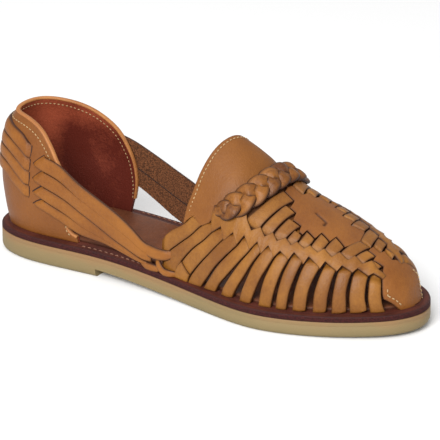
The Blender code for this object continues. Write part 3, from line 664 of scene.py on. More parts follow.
def make_sole():
    def level(up):
        return lambda y: z_under(y) + up
    rubber = slab("outsole_rubber", [(2.4, level(0.0), 0, 0), (1.5, level(0.25), 0, 0), (0.7, level(0.9), 0, 0), (0.2, level(2.0), 0, 0), (0.0, level(3.4), 0, 0),
                                     (0.0, lambda y: z_rubber(y) - 2.6, 0, 0), (0.12, lambda y: z_rubber(y) - 2.3, 0, 0), (0.0, lambda y: z_rubber(y) - 2.0, 0, 0),
                                     (0.0, lambda y: z_rubber(y) - 0.35, 0, 0), (0.3, z_rubber, 0, 0)], 150, MAT_RUBBER, "outsole")
    w = 60.0
    prof = [(BREAST_Y, -6.0), (BREAST_Y, BREAST_H), (ARCH_END, 0.0), (ARCH_END, -6.0)]
    verts = [(-w, y, z) for y, z in prof] + [(w, y, z) for y, z in prof]
    faces = [(0, 1, 2, 3), (7, 6, 5, 4), (0, 4, 5, 1), (1, 5, 6, 2), (2, 6, 7, 3), (3, 7, 4, 0)]
    mesh = bpy.data.meshes.new("cutter")
    mesh.from_pydata([tuple((np.array(v) + SHIFT) * 0.001) for v in verts], [], faces)
    cutter = bpy.data.objects.new("cutter", mesh)
    bpy.context.scene.collection.objects.link(cutter)
    cut = rubber.modifiers.new("waist", "BOOLEAN")
    cut.operation, cut.solver, cut.object = "DIFFERENCE", "EXACT", cutter
    bpy.context.view_layer.update()
    new = bpy.data.meshes.new_from_object(rubber.evaluated_get(bpy.context.evaluated_depsgraph_get()))
    rubber.modifiers.clear()
    rubber.data = new
    new.shade_smooth()
    new.set_sharp_from_angle(angle=math.radians(38))
    bpy.data.objects.remove(cutter, do_unlink=True)

    top = lambda y: z_mid(y)
    # the ring 3.9 mm in is a shallow dip darkened with painted shadow where the upper's foot meets the board
    slab("midsole_board", [(0.5, lambda y: z_rubber(y) + 0.02, 0, 1), (0.0, lambda y: z_rubber(y) + 0.4, 0.4, 1), (0.05, lambda y: z_mid(y) - 1.0, 0.2, 1),
                           (0.35, lambda y: z_mid(y) - 0.35, 0.55, 0.7), (0.9, lambda y: z_mid(y) - 0.06, 0.35, 0.15), (1.7, top, 0.0, 0.0),
                           (3.4, top, 0.0, 0), (3.9, lambda y: z_mid(y) - 0.22, 0.5, 0), (4.3, top, 0.08, 0)], 170, MAT_MIDSOLE, "midsole")
    # the insole's lower rim is darkened, partly its cut edge's own colour and partly painted shade where it sits on the
    # board
    slab("insole_sock", [(INSOLE_EDGE, lambda y: z_mid(y) + 0.1, 0.8, 0), (INSOLE_EDGE - 0.1, lambda y: z_mid(y) + 0.9, 0.6, 0), (INSOLE_EDGE + 0.25, lambda y: z_mid(y) + 1.45, 0.2, 0),
                         (INSOLE_EDGE + 0.9, lambda y: z_mid(y) + 1.7, 0.0, 0), (INSOLE_EDGE + 2.2, lambda y: z_mid(y) + 1.72, 0, 0)], 150, MAT_INSOLE, "insole")


make_sole()


def loop_part(d, y0, y1, side):
    out, inn = sides(inset(SOLE_LOOP, d))
    P = out if side > 0 else inn
    P = P[(P[:, 1] > y0) & (P[:, 1] < y1)]
    return np.c_[P, z_mid(P[:, 1]) + 0.02]


rows = []
UP = np.array([0.0, 0.0, 1.0])
for d, side, y0, y1 in ((2.7, 1, 62, 104), (2.7, -1, 62, 150)):
    P = loop_part(d, y0, y1, side)
    rows.append((P, np.tile(UP, (len(P), 1)), 2.3, 3.6, 0.34))
stitches("welt_stitches", rows, MAT_WELT_THREAD)

# ------------------------------------------------------------------ the weave, charted
# lines between the side strips: (station, distance from the crest) from the sole upwards, half gap at the sole and at the top, how fast it closes
LINES = [
    ([(114.0, 70.5), (121, 64), (129.3, 58.3), (134.0, 52.5), (137.0, 48.0)], 0.0, 0.0, 1.0),
    ([(115.5, 90), (117.0, 83), (119.0, 78), (122.0, 74.3), (127.0, 70.0), (134.5, 63), (140, 56), (145.5, 50.5), (149, 46.5)], 0.2, 0.12, 2.0),
    ([(126.5, 92), (127.8, 84), (130.0, 78.5), (136.5, 69.5), (143.5, 61.5), (148.5, 54.5), (153.5, 49), (157, 44)], 0.25, 0.12, 2.0),
    ([(133.0, 92), (135.5, 85.5), (138, 81.3), (142.5, 74.5), (149, 65), (157, 52.5), (161, 46.5), (163.5, 42)], 0.4, 0.12, 2.0),
    ([(143.0, 91), (145.5, 85), (148.5, 79.5), (153, 71), (159, 61), (165.5, 50.5), (168, 44), (170.3, 39)], 0.7, 0.12, 2.0),
    ([(154.0, 90), (155.8, 83), (157.8, 77.5), (161.0, 71.5), (164.5, 65), (169, 56.5), (173.5, 48), (175.5, 42), (177.3, 37)], 1.8, 0.12, 2.2),
    ([(166.8, 84), (168.0, 77.5), (170.0, 71.0), (173.3, 62.5), (176.5, 53.5), (180, 45), (181.5, 40), (183, 35.5)], 2.2, 0.12, 2.0),
    ([(178.5, 80), (179.8, 73), (181.3, 66), (183.2, 58), (185.7, 50), (187.5, 44), (189.5, 39), (190.7, 34.5)], 2.2, 0.15, 2.0),
    ([(190.0, 75), (190.6, 68), (191.3, 62), (192.4, 55), (193.6, 48), (195, 42), (196, 36.5), (197, 32)], 1.1, 0.2, 1.4),
    ([(199.2, 71), (199.5, 64.5), (200.3, 55), (201.7, 46.5), (203, 39.5), (204.5, 33.5), (205.3, 29.5)], 1.5, 0.3, 0.7),
    ([(217.5, 64), (216.3, 57), (214.6, 49), (214.6, 40), (215, 34), (215, 30.6), (215.2, 27)], 3.0, 0.35, 1.1),
    ([(233, 56), (232.2, 50.5), (228.7, 44), (225.6, 35), (224.6, 30), (225, 27), (225.4, 23.5)], 2.3, 0.35, 1.1),
    ([(249.5, 46), (245.8, 42), (238.7, 36), (234.6, 29), (233.2, 24.5), (233.2, 22.7), (233.8, 19.5)], 1.8, 0.35, 1.1),
    ([(264, 37), (258.5, 32.0), (250.5, 28.6), (244.8, 23.6), (242.6, 20), (242.3, 18.5), (243.6, 15.5)], 2.3, 0.35, 1.1),
    ([(271.5, 21.0), (266.5, 21.6), (261.0, 22.2), (257.0, 21.2), (253.5, 19.2), (250, 16.0), (247.5, 12.5)], 0.0, 0.0, 1.0)]
# far edge of the side strips: the plait that they run under starts here
ZIG_TOP = [(146, 47.5), (147.5, 50.8), (149.2, 54.2), (154, 48.4), (157, 54.0), (162, 46.3), (165, 51), (168.7, 43.4), (173.2, 48.3),
           (176.7, 41.8), (180, 46.3), (182.9, 40.2), (187.2, 44.2), (189.6, 39.3), (194.9, 41.2), (196.6, 36), (203.7, 38.6), (205, 33.4),
           (214.4, 35.3), (215.2, 30.5), (224.7, 31.0), (225.4, 26.9), (233.2, 26.2), (234, 22.6), (242.0, 21.2), (243.2, 18.2), (250.5, 15.2)]
ZIG_LOW = [(146, 42), (150, 40), (155, 36.5), (160, 31), (163.5, 27), (165.5, 31.5), (167.5, 35.3), (171.5, 38.6), (175.5, 34), (179.5, 37.0),
           (182.5, 32.5), (186.3, 35.4), (189.5, 31.2), (193.7, 33.2), (195.8, 29.8), (200.6, 30.9), (202.8, 27.6), (208.7, 28.4),
           (210.8, 24.8), (217.2, 25.8), (219.5, 21.4), (226.4, 21.8), (228.0, 18), (234.5, 18.2), (237.5, 13.6), (243.8, 14.0), (250.5, 12.0)]
# the strips that come out of the plait and end in a slot of the middle panel: near line, far line
CROSS = [
    ([(165.5, 38), (170.5, 27), (174, 15), (176, 7.6)], [(174.5, 37), (178.3, 24.5), (181.8, 13), (183.2, 9.2)]),
    ([(175.2, 37), (178.9, 24.5), (180.6, 17.5), (181.5, 14.4)], [(181.8, 36), (185.3, 22.5), (187.2, 16.8), (187.9, 15.5)]),
    ([(182.6, 36), (184.9, 27.0), (186.0, 22.6), (186.6, 20.2)], [(188.9, 34.5), (192.2, 24.5), (193.3, 22.0), (193.7, 20.8)]),
    ([(189.7, 34.5), (191.3, 28.5), (191.8, 25.8), (192.0, 24.2)], [(194.8, 33), (196.2, 28.6), (196.3, 26.2), (196.3, 24.8)]),
    ([(195.6, 33), (197.2, 26.5), (197.4, 23.2), (197.4, 21.1)], [(201.4, 31.5), (202.9, 26.4), (203.1, 24.0), (203.1, 22.7)]),
    ([(202.8, 31), (203.9, 23.5), (204.2, 19.5), (204.4, 17.3)], [(209.3, 29.5), (210.6, 23.8), (210.8, 20.8), (210.8, 19.2)]),
    ([(210.6, 28), (211.3, 20.5), (211.7, 16.5), (212.0, 14.2)], [(217.8, 27), (219.2, 21.0), (219.5, 18.4), (219.6, 16.7)]),
    ([(219.4, 24.5), (220.8, 15.5), (222.4, 10.0), (223.4, 7.2)], [(227.0, 23), (228.9, 14.2), (230.2, 9.0), (231.0, 6.8)]),
    ([(227.8, 21), (228.9, 15.5), (230.2, 11.5), (230.9, 9.4)], [(234.6, 20.5), (235.9, 13.5), (236.8, 10.8), (237.2, 9.2)]),
    ([(236.4, 17.5), (236.6, 14.5), (236.8, 13.4), (237.0, 12.6)], [(243.4, 17), (243.9, 12.8), (244.3, 11.3), (244.6, 10.5)])]


def chart_line(points, side, n, shift=0.0):
    P = smooth_line(points, n)
    P[:, 0] += shift
    if side < 0:
        P[:, 1] = mirror_b(P[:, 0], P[:, 1])
    return P


def place(S, B, H, floor=0.12):
    """grid of charted points at a height over the surface, kept above the midsole"""
    p, n = surface(S, B)
    P = p + n * H[..., None]
    P[..., 2] = np.maximum(P[..., 2], z_mid(P[..., 1]) + floor)
    return P, n


FOOT = 0.9     # how far a strip's end lies out on the midsole


def clip_base(P, side):
    """cuts a charted line where it meets the midsole"""
    lim = np.array([base_b(s, side) for s in P[:, 0]])
    lim = lim + side * FOOT
    over = (P[:, 1] > lim) if side > 0 else (P[:, 1] < lim)
    k = np.nonzero(~over)[0]
    return P[max(k[0] - 1, 0):] if len(k) else P


def make_strips():
    for side, name in ((1, "side_strips_outer"), (-1, "side_strips_inner")):
        build = Build()
        for k in range(len(LINES) - 1):
            (left, g0, g1, gp), (right, h0, h1, hp) = LINES[k], LINES[k + 1]
            a = clip_base(chart_line(left, side, 160), side)
            b = clip_base(chart_line(right, side, 160), side)
            n = 46
            f = np.linspace(0, 1, n)
            a, b = resample(a, f), resample(b, f)
            fade = (1 - f)
            a[:, 0] += g0 * fade**gp + g1
            b[:, 0] -= h0 * fade**hp + h1
            v = edge_samples(7, 8.0)
            S = a[:, None, 0] * (1 - v) + b[:, None, 0] * v
            B = a[:, None, 1] * (1 - v) + b[:, None, 1] * v
            length = arc(on_chart(S[:, 7], B[:, 7]))
            rest = length[-1] - length
            H = -1.65 * ease((7.5 - rest) / 4.0) + 0.3 * np.exp(-length / 2.5) + 0.3 * np.sin(np.pi * f)
            if k == 0:
                H = H - 2.2 * ease((9.0 - length) / 9.0)
            H = H + (0.16 * math.sin(k * 2.3 + side))
            P, N = place(S, B, np.repeat(H[:, None], len(v), 1))
            build.sheet(P, N, 1.9, tone=random.uniform(-0.6, 0.6), radius=0.55 if k < 5 else 0.7, crown=0.35 if k < 5 else 0.55, line=0.8)
        # the folded piece that covers the foot of the third strip
        v = edge_samples(8, 7.0)
        f = np.linspace(0, 1, 22)
        a = chart_line([(130.3, 78.6), (127.4, 82.0), (125.6, 86.0), (125.0, 90.4)], side, 22)
        b = chart_line([(136.2, 84.0), (135.2, 86.4), (134.5, 89.0), (134.2, 91.6)], side, 22)
        S = a[:, None, 0] * (1 - v) + b[:, None, 0] * v
        B = a[:, None, 1] * (1 - v) + b[:, None, 1] * v
        P, N = place(S, B, 1.5 - 0.9 * f[:, None] + 0 * S)
        build.sheet(P, N, 1.6, tone=0.4, radius=0.7, crown=0.3)
        build.make(name, MAT_WEAVE)


make_strips()


def make_plaits():
    """the long strip that holds the side strips down, one a side"""
    for side, name in ((1, "plait_outer"), (-1, "plait_inner")):
        build = Build()
        s = np.linspace(146.2, 250.0, 330)
        top = np.interp(s, *np.array(ZIG_TOP).T)
        low = np.interp(s, *np.array(ZIG_LOW).T)
        low = np.minimum(low, top - 2.2)
        v = edge_samples(6, 7.0, 0.8)
        S = np.repeat(s[:, None], len(v), 1)
        B = top[:, None] * (1 - v) + low[:, None] * v
        # it swells over each side strip and sinks between them
        ends = np.array([p[0] for p in ZIG_TOP[3::2]])
        phase = np.interp(s, ends, np.arange(len(ends)))
        wave = np.cos(2 * np.pi * phase)
        H = 0.95 + 0.35 * wave[:, None] * (1 - v) - 0.3 * wave[:, None] * v
        H = H * ease((s - 145.8) / 2.5)[:, None] * (0.35 + 0.65 * ease((250.4 - s) / 4.0))[:, None]
        if side < 0:
            B = mirror_b(S, B)
        P, N = place(S, B, H)
        # line=0.95: the dark band along the plait's edges is painted shadow as well as its cut edge
        build.sheet(P, N, 1.5, tone=0.1, radius=0.5, crown=0.3, line=0.95)
        build.make(name, MAT_WEAVE)


make_plaits()


def make_cross():
    for side, name in ((1, "cross_strips_outer"), (-1, "cross_strips_inner")):
        build = Build()
        for k, (left, right) in enumerate(CROSS):
            f = np.r_[np.linspace(0, 0.84, 18), np.linspace(0.87, 1.0, 12)]
            a = chart_line(left, side, 80)
            b = chart_line(right, side, 80)
            a, b = resample(a, f), resample(b, f)
            # the end passes under the middle panel
            for q in (0.5, 1.0, 1.7, 2.4):
                a = np.vstack([a, a[29] + (a[29] - a[24]) / np.linalg.norm(a[29] - a[24]) * q])
                b = np.vstack([b, b[29] + (b[29] - b[24]) / np.linalg.norm(b[29] - b[24]) * q])
            a[:, 0] += 0.05
            b[:, 0] -= 0.05
            v = edge_samples(7, 7.0)
            S = a[:, None, 0] * (1 - v) + b[:, None, 0] * v
            B = a[:, None, 1] * (1 - v) + b[:, None, 1] * v
            length = arc(on_chart(S[:, 7], B[:, 7]))
            rest = length[29] - length
            H = -0.75 + 1.3 * ease(length / min(5.0, 0.5 * length[29])) - 2.6 * np.clip((1.3 - rest) / 1.3, 0, 1)**1.4
            P, N = place(S, B, np.repeat(H[:, None], len(v), 1))
            build.sheet(P, N, 1.4, tone=random.uniform(-0.7, 0.7), radius=0.36, crown=0.2, line=0.95)
        build.make(name, MAT_WEAVE)


make_cross()

# edge of the middle panel on the outer side: a step for each strip that goes under it, then the toe piece
PANEL_EDGE = [(164, 4), (175.8, 4), (176.2, 7.6), (183.1, 9.2), (183.5, 14.8), (187.8, 15.5), (188.2, 20.4), (193.7, 20.8), (194.1, 24.5), (196.4, 24.8),
              (197.2, 21.1), (203.1, 22.7), (204.1, 17.3), (210.8, 19.2), (211.7, 14.2), (219.6, 16.7), (220.6, 15.3), (223.3, 7.5), (230.8, 6.9), (231.2, 9.4),
              (237.0, 9.2), (237.4, 12.6), (244.6, 10.5), (246.0, 12.6), (248.0, 14.2), (250.5, 16.3), (253.0, 18.2), (256.0, 20.0), (258.5, 20.6),
              (261.0, 19.0), (265.0, 16.3), (268.5, 14.2), (271, 12.6), (273.0, 8.5), (274.3, 1.5)]
SLOTS = [((195.2, 7.5), (202.2, 9.2), (202.4, 11.8))]


def make_panel():
    """the middle panel, which widens into the toe piece"""
    s = np.r_[np.linspace(164, 246, 206), np.linspace(246.5, 274.2, 56)]
    edge = np.interp(s, *np.array(PANEL_EDGE).T)
    lim = np.array([base_b(x, 1) for x in s]) + 1.0
    edge = np.where(s > 266, np.minimum(edge, lim), edge)
    inner = mirror_b(s, edge)
    lim2 = np.array([base_b(x, -1) for x in s]) - 1.0
    inner = np.where(s > 266, np.maximum(inner, lim2), inner)
    v = edge_samples(64, 26.0, 0.8)
    S = np.repeat(s[:, None], len(v), 1)
    B = edge[:, None] * (1 - v) + inner[:, None] * v
    p = on_chart(S, B)
    H = 0.05 + 0.25 * ease((s - 240) / 10)[:, None] + 0 * B
    H = H - 1.2 * ease((170 - s) / 4)[:, None]
    lines = [np.array(x, float) for x in SLOTS]
    groove = np.zeros(S.shape)
    for e in lines:
        q = resample(e, 14)
        Q = on_chart(q[:, 0], q[:, 1])
        d = np.min(np.linalg.norm(p[:, :, None, :] - Q[None, None], axis=-1), axis=2)
        groove = np.maximum(groove, np.exp(-(d / 0.75)**2))
    H = H - 1.0 * groove
    P, N = place(S, B, H)
    build = Build()
    build.sheet(P, N, 1.7, tone=0.0, radius=0.5, edges=(0, 0, 1, 1), line=0.9)
    k = len(s) * len(v)
    # painted shade: the slot grooves are darkened as well as sunk
    build.edge[:k] = list(np.maximum(np.array(build.edge[:k]), groove.ravel() * 0.9))
    panel = build.make("middle_and_toe_panel", MAT_PANEL)
    rows = []
    for side in (1, -1):
        for off in (2.7,):
            line = np.array([(253.5, 18.6), (256.2, 19.9), (258.5, 20.5), (261.0, 19.0), (265, 16.3), (268.5, 14.2), (271.0, 12.4)])
            q = smooth_line(line, 40)
            if side < 0:
                q[:, 1] = mirror_b(q[:, 0], q[:, 1])
            Q, Nn = surface(q[:, 0], q[:, 1])
            t = np.gradient(Q, axis=0)
            t /= np.linalg.norm(t, axis=1)[:, None]
            a = np.cross(Nn, t) * (1 if side > 0 else -1)
            toward = on_chart(q[:, 0], q[:, 1] - side * 1.0) - Q
            sign = np.sign(np.sum(a * toward, axis=1))[:, None]
            Q = Q + a * sign * off
            rows.append((Q + Nn * 0.35, Nn, 1.6, 2.5, 0.36))
    stitches("toe_stitches", rows)
    return panel


make_panel()



def make_backing():
    """the dark layer seen between the strips of the vamp"""
    s = np.linspace(150, 250, 70)
    top = np.interp(s, *np.array(ZIG_TOP).T) - 4.5
    inner = mirror_b(s, top)
    v = np.linspace(0, 1, 40)
    S = np.repeat(s[:, None], len(v), 1)
    B = top[:, None] * (1 - v) + inner[:, None] * v
    P, N = place(S, B, np.full(S.shape, -2.5))
    build = Build()
    build.sheet(P, N, 0.5, radius=0.2)
    build.make("weave_backing", MAT_BACKING)


make_backing()

# ------------------------------------------------------------------ tongue
TONGUE_REAR = [(129.3, 58.6), (129.5, 54), (130.2, 48), (131.5, 42), (132.6, 35), (133.8, 28), (136.0, 18), (138.3, 10), (140.7, 3), (142.2, -1.5), (142.6, -5)]
TONGUE_FRONT = [(133.6, 53.0), (137.9, 50.2), (141.0, 55.2), (145.8, 51.0), (148.0, 46.5), (151.5, 41), (156, 34), (160.5, 25), (163.6, 14), (166.0, 4), (167.0, -5)]
TONGUE_MID = -5.0


def make_tongue():
    half = 60
    rear = smooth_line(TONGUE_REAR, half)
    front = resample(TONGUE_FRONT, half)
    rear2, front2 = rear[-2::-1].copy(), front[-2::-1].copy()
    rear2[:, 1], front2[:, 1] = 2 * TONGUE_MID - rear2[:, 1], 2 * TONGUE_MID - front2[:, 1]
    rear, front = np.vstack([rear, rear2]), np.vstack([front, front2])
    v = edge_samples(16, 18.0, 0.9)
    S = rear[:, None, 0] * (1 - v) + front[:, None, 0] * v
    B = rear[:, None, 1] * (1 - v) + front[:, None, 1] * v
    t = np.linspace(-1, 1, len(rear))[:, None]
    H = 0.35 - 1.3 * ease((v[None] - 0.62) / 0.38) * ease((0.8 - np.abs(t)) / 0.3) + 0.4 * ease((np.abs(t) - 0.6) / 0.25)
    P, N = place(S, B, H)
    build = Build()
    build.sheet(P.transpose(1, 0, 2), N.transpose(1, 0, 2), 1.7, tone=0.2, radius=0.6, flip=True)
    build.make("tongue_apron", MAT_TONGUE)
    q = rear[6:-6]
    Q, Nn = surface(q[:, 0] + 2.6, q[:, 1] - 0.8 * np.clip((q[:, 1] - TONGUE_MID) / 10, -1, 1))
    stitches("tongue_stitches", [(Q + Nn * 0.42, Nn, 1.5, 2.35, 0.33)])


make_tongue()

# ------------------------------------------------------------------ instep braid
BRAID = [(147.5, 43.5), (151.7, 41.0), (156.7, 37.0), (161.2, 31.0), (164.7, 24.0), (167.5, 15.5), (169.3, 5.0), (170.0, -5.0),
         (169.8, -12.0), (168.3, -20.0), (165.0, -28.5), (160.0, -37.0), (154.0, -44.5), (149.5, -49.0)]


def make_braid():
    q = smooth_line(BRAID, 460)
    P, N = surface(q[:, 0], q[:, 1])
    for _ in range(40):
        N[1:-1] = (N[:-2] + N[1:-1] * 2 + N[2:]) / 4
    N /= np.linalg.norm(N, axis=1)[:, None]
    T = np.gradient(P, axis=0)
    T /= np.linalg.norm(T, axis=1)[:, None]
    A = np.cross(N, T)
    a = arc(P)
    period = 24.0
    ends = ease(np.minimum(a, a[-1] - a) / 12.0)
    build = Build()
    for k in range(3):
        w = 2 * np.pi * (a / period + k / 3.0) + 0.6
        # the plait is looser on the outer side
        bulk = 1 + 0.08 * ease((0.6 * a[-1] - a) / 22.0)
        off = 3.15 * bulk * np.sin(w) * (0.12 + 0.88 * ends)
        h = -1.35 * np.sin(2 * w)
        C = P + A * off[:, None] + N * (2.3 + h * (0.3 + 0.7 * ends) - 2.3 * (1 - ends)**2)[:, None]
        tt = np.gradient(C, axis=0)
        tt /= np.linalg.norm(tt, axis=1)[:, None]
        AA = np.cross(N, tt)
        AA /= np.linalg.norm(AA, axis=1)[:, None]
        half = (2.4 + 1.4 * ends) * bulk
        build.tube(C, AA, N, half, 0.95 + 0.55 * ends, tone=random.uniform(-0.6, 0.8), sides_=16)
    build.make("braid_strands", MAT_BRAID)


make_braid()

# ------------------------------------------------------------------ heel counter
BULGE = [(14.0, 0.0, 0.0), (28.0, 2.6, 0.6), (43.0, 4.0, 0.8), (52.0, 3.6, 0.0), (60.0, 2.6, -1.4),
         (66.0, 1.4, -3.0), (72.0, -0.4, -5.0), (77.0, -3.2, -6.6), (81.0, -5.2, -8.0)]
TOPLINE = [(-1, 60.8, 24.0), (-1, 62.0, 34.0), (-1, 60.5, 44.0), (-1, 57.0, 53.5), (-1, 50.0, 65.0), (-1, 36.0, 74.2), (-1, 17.0, 78.4),
           (0, 0.0, 80.0), (1, 9.0, 79.2), (1, 21.0, 78.0), (1, 31.0, 74.3), (1, 38.5, 67.6), (1, 44.0, 60.4),
           (1, 48.5, 53.5), (1, 52.5, 42.0), (1, 53.2, 32.0), (1, 51.5, 26.0), (1, 52.2, 22.0), (1, 55.0, 19.4), (1, 58.0, 18.4)]
_o, _i = sides(inset(SOLE_LOOP, COUNTER_EDGE))
_path = np.vstack([_i[_i[:, 1] < 90][::-1], _o[1:][_o[1:, 1] < 90]])
_arc = arc(_path)
_arc -= _arc[_path[:, 1].argmin()]
_tan = np.gradient(_path, _arc, axis=0)
_nor = np.c_[_tan[:, 1], -_tan[:, 0]] / np.linalg.norm(_tan, axis=1)[:, None]


def heel_arc(y, side):
    keep = (_arc * side >= 0)
    a, yy = _arc[keep], _path[keep, 1]
    order = np.argsort(yy)
    return float(np.interp(y, yy[order], a[order])) if side else 0.0


def counter_surface(a, z, out=0.0):
    a, z = np.broadcast_arrays(np.asarray(a, float), np.asarray(z, float))
    n = np.stack([np.interp(a, _arc, _nor[:, 0]), np.interp(a, _arc, _nor[:, 1]), np.zeros(a.shape)], -1)
    n /= np.linalg.norm(n, axis=-1)[..., None]
    w = ease((np.abs(a) - 8) / 42)
    d = (1 - w) * smooth_table(BULGE, z, 1) + w * smooth_table(BULGE, z, 2) + out
    p = np.stack([np.interp(a, _arc, _path[:, 0]), np.interp(a, _arc, _path[:, 1]), z], -1)
    return p + n * d[..., None], n


def make_counter():
    top = smooth_line([(heel_arc(y, side), z) for side, y, z in TOPLINE], 150)
    n = len(top)
    base = np.linspace(heel_arc(58.5, -1), heel_arc(58.6, 1), n)
    v = np.r_[edge_samples(26, 50.0, 0.9)]
    low = counter_surface(base, 15.0)[0]
    z0 = z_mid(low[:, 1]) + 0.1
    A = base[:, None] + (top[:, 0] - base)[:, None] * v
    Z = z0[:, None] + (top[:, 1] - z0)[:, None] * v
    P, N = counter_surface(A, Z)
    build = Build()
    build.sheet(P, N, 1.4, tone=0.0, radius=0.6, dark=0.35)
    build.make("counter_outer_leather", MAT_COUNTER)
    P2, N2 = counter_surface(A, Z, -1.45)
    lining = Build()
    lining.sheet(P2 - 0 * N2, -N2, -1.05, tone=0.0, radius=0.4, dark=0.3)
    lining.inner = [0.0] * len(lining.inner)
    lx, ly, lz = np.array(lining.v).T
    # painted shade: on the inner wall the lining sinks to its dark colour further forward and lower down, inside the
    # heel cup
    lining.tone = list(0.9 - 2.9 * ease((ly - 10) / 14) * ease((72 - lz) / 14) * (lx < 0))
    lining.make("counter_lining", MAT_LINING)
    # rounded light edge over both layers
    T, Nt = counter_surface(top[:, 0], top[:, 1], -1.25)
    up = np.gradient(T, axis=0)
    up /= np.linalg.norm(up, axis=1)[:, None]
    across = Nt - up * np.sum(Nt * up, axis=1)[:, None]
    across /= np.linalg.norm(across, axis=1)[:, None]
    out = np.cross(up, across)
    sign = np.sign(np.sum(out * (T - counter_surface(top[:, 0] * 0.97, top[:, 1] - 3.0, -1.25)[0]), axis=1))[:, None]
    rim = Build()
    rim.tube(T, across, out * sign, np.full(n, 1.3), np.full(n, 0.85), tone=0.2, sides_=12, edge=-0.2)
    rim.edge = [0.0] * len(rim.edge)
    rim.make("counter_rim", MAT_RIM)
    # stitches below the edge, outside and inside
    inner = [(base[i] + (top[i, 0] - base[i]) * (1 - 3.4 / max(math.hypot(top[i, 0] - base[i], top[i, 1] - z0[i]), 12)),
              z0[i] + (top[i, 1] - z0[i]) * (1 - 3.4 / max(math.hypot(top[i, 0] - base[i], top[i, 1] - z0[i]), 12))) for i in range(2, n - 2)]
    inner = np.array(inner)
    Q, Nq = counter_surface(inner[:, 0], inner[:, 1], 0.05)
    R, Nr = counter_surface(inner[:, 0], inner[:, 1], -2.55)
    stitches("counter_stitches", [(Q, Nq, 1.5, 2.3, 0.32), (R, -Nr, 1.4, 2.3, 0.28)])


make_counter()

# ------------------------------------------------------------------ heel and side straps
# outer side: y, outer x, heights of the five lines from the top edge down
STRAP_OUT = [
    (30.0, 28.9, 64.5, 56.4, 48.2, 40.6, 33.6), (36.0, 29.0, 62.0, 53.8, 45.4, 37.6, 31.0), (46.0, 29.1, 59.2, 50.8, 42.0, 33.6, 27.2), (56.0, 29.4, 54.7, 46.6, 38.3, 30.2, 23.5),
    (66.0, 29.8, 50.1, 42.2, 34.1, 26.8, 21.6), (76.0, 30.1, 45.6, 37.6, 29.4, 24.2, 20.9), (86.0, 30.6, 41.1, 33.0, 24.8, 21.3, 19.2),
    (94.0, 31.1, 36.8, 29.4, 21.8, 19.2, 17.4), (100.0, 31.6, 32.9, 26.2, 19.6, 17.4, 16.2), (105.0, 31.9, 29.2, 23.6, 18.2, 16.6, 15.6), (110.0, 31.0, 26.6, 21.6, 17.4, 16.2, 15.2)]
STRAP_IN = [
    (34.0, -30.2, 65.4, 57.0, 50.4, 45.6, 40.6), (40.0, -30.4, 63.2, 54.8, 48.2, 43.2, 38.0), (51.0, -30.6, 59.6, 51.4, 44.8, 39.6, 34.4), (63.0, -30.2, 55.2, 47.6, 40.6, 35.4, 30.2),
    (76.0, -29.9, 50.0, 42.4, 34.8, 29.0, 23.4), (87.0, -29.7, 45.2, 37.6, 29.6, 23.2, 17.2), (94.0, -29.6, 42.2, 34.6, 26.6, 20.6, 14.6),
    (104.0, -29.6, 37.6, 30.6, 23.6, 18.6, 14.2), (114.0, -29.6, 33.0, 27.2, 21.4, 17.4, 14.0), (122.0, -29.8, 29.6, 24.6, 19.8, 16.6, 13.8)]
# round the heel: arc from the back (outer side positive), heights of the five lines
HEEL_BAND = [(-44.0, 66.2, 57.8, 50.4, 44.0, 37.6), (-34.0, 69.6, 61.2, 53.6, 46.8, 40.0), (-20.0, 73.4, 65.4, 58.0, 51.0, 44.0), (0.0, 76.0, 68.6, 61.4, 54.2, 47.0), (14.5, 75.2, 68.2, 61.5, 54.9, 47.8),
             (20.5, 73.6, 66.9, 60.4, 53.7, 46.6), (28.5, 70.9, 63.3, 56.3, 48.7, 41.4), (35.0, 66.2, 58.9, 51.6, 43.6, 36.4), (40.0, 63.0, 55.8, 48.6, 41.4, 34.4)]


def strap_sheet(build, table, side, k, tone):
    """one strand from its slot in the counter to the weave"""
    v = edge_samples(7, 8.0)
    y = np.r_[np.linspace(table[0][0], 50, 46), np.linspace(50.7, table[-1][0], 70)]
    # the strands lie in pairs, and the line inside a pair fades out away from the counter
    join = 1 - 0.88 * ease((y - 46) / 22)
    top = smooth_table(table, y, 2 + k) - (0.08 * join if k % 2 else 0.2)
    low = smooth_table(table, y, 3 + k) + (0.2 if k % 2 else 0.08 * join)
    Y = y[:, None] + 0 * v
    shared = (v < 0.5) if k % 2 else (v > 0.5)
    soft = np.where(shared[None], join[:, None], 1.0)
    pair = (v + k % 2) / 2
    lift = 0.3 * (join[:, None] * (1 - (2 * v - 1)**2) + (1 - join[:, None]) * (1 - (2 * pair - 1)**2))
    # the strand comes out of a slanted slot: its upper edge further forward than its lower one
    slot = 6.4 * (1 - v) + table[0][0] + 0.4
    Z = top[:, None] * (1 - v) + low[:, None] * v
    arcs = np.array([heel_arc(q, side) for q in y])
    # on the counter, then free
    out = 1.7 - 2.15 * np.clip((slot + 2.4 - Y) / 2.4, 0, 1)
    if k >= 2:
        out = out - 0.35 * ease((62 - Y) / 10)
    near, _ = counter_surface(arcs[:, None] + 0 * Z, Z, out)
    X = smooth_table(table, y, 1)[:, None] + side * (0.1, 0.1, -0.45, -0.45)[k] * ease((table[-1][0] - Y) / 12)
    far = np.stack([X + 0 * Z, Y, Z], -1)
    w = ease((Y - 46) / 18)[..., None]
    P = near * (1 - w) + far * w
    P[..., 2] = np.maximum(P[..., 2], z_mid(P[..., 1]) + 0.1)
    N = np.cross(np.gradient(P, axis=0), np.gradient(P, axis=1))
    N /= np.maximum(np.linalg.norm(N, axis=-1), 1e-9)[..., None]
    N = N * np.sign(N[..., :1] * side)
    build.sheet(P, N, 1.5, tone=tone, radius=0.6 * soft + 0.02, crown=lift, dark=soft, line=0.8, flip=(side > 0))


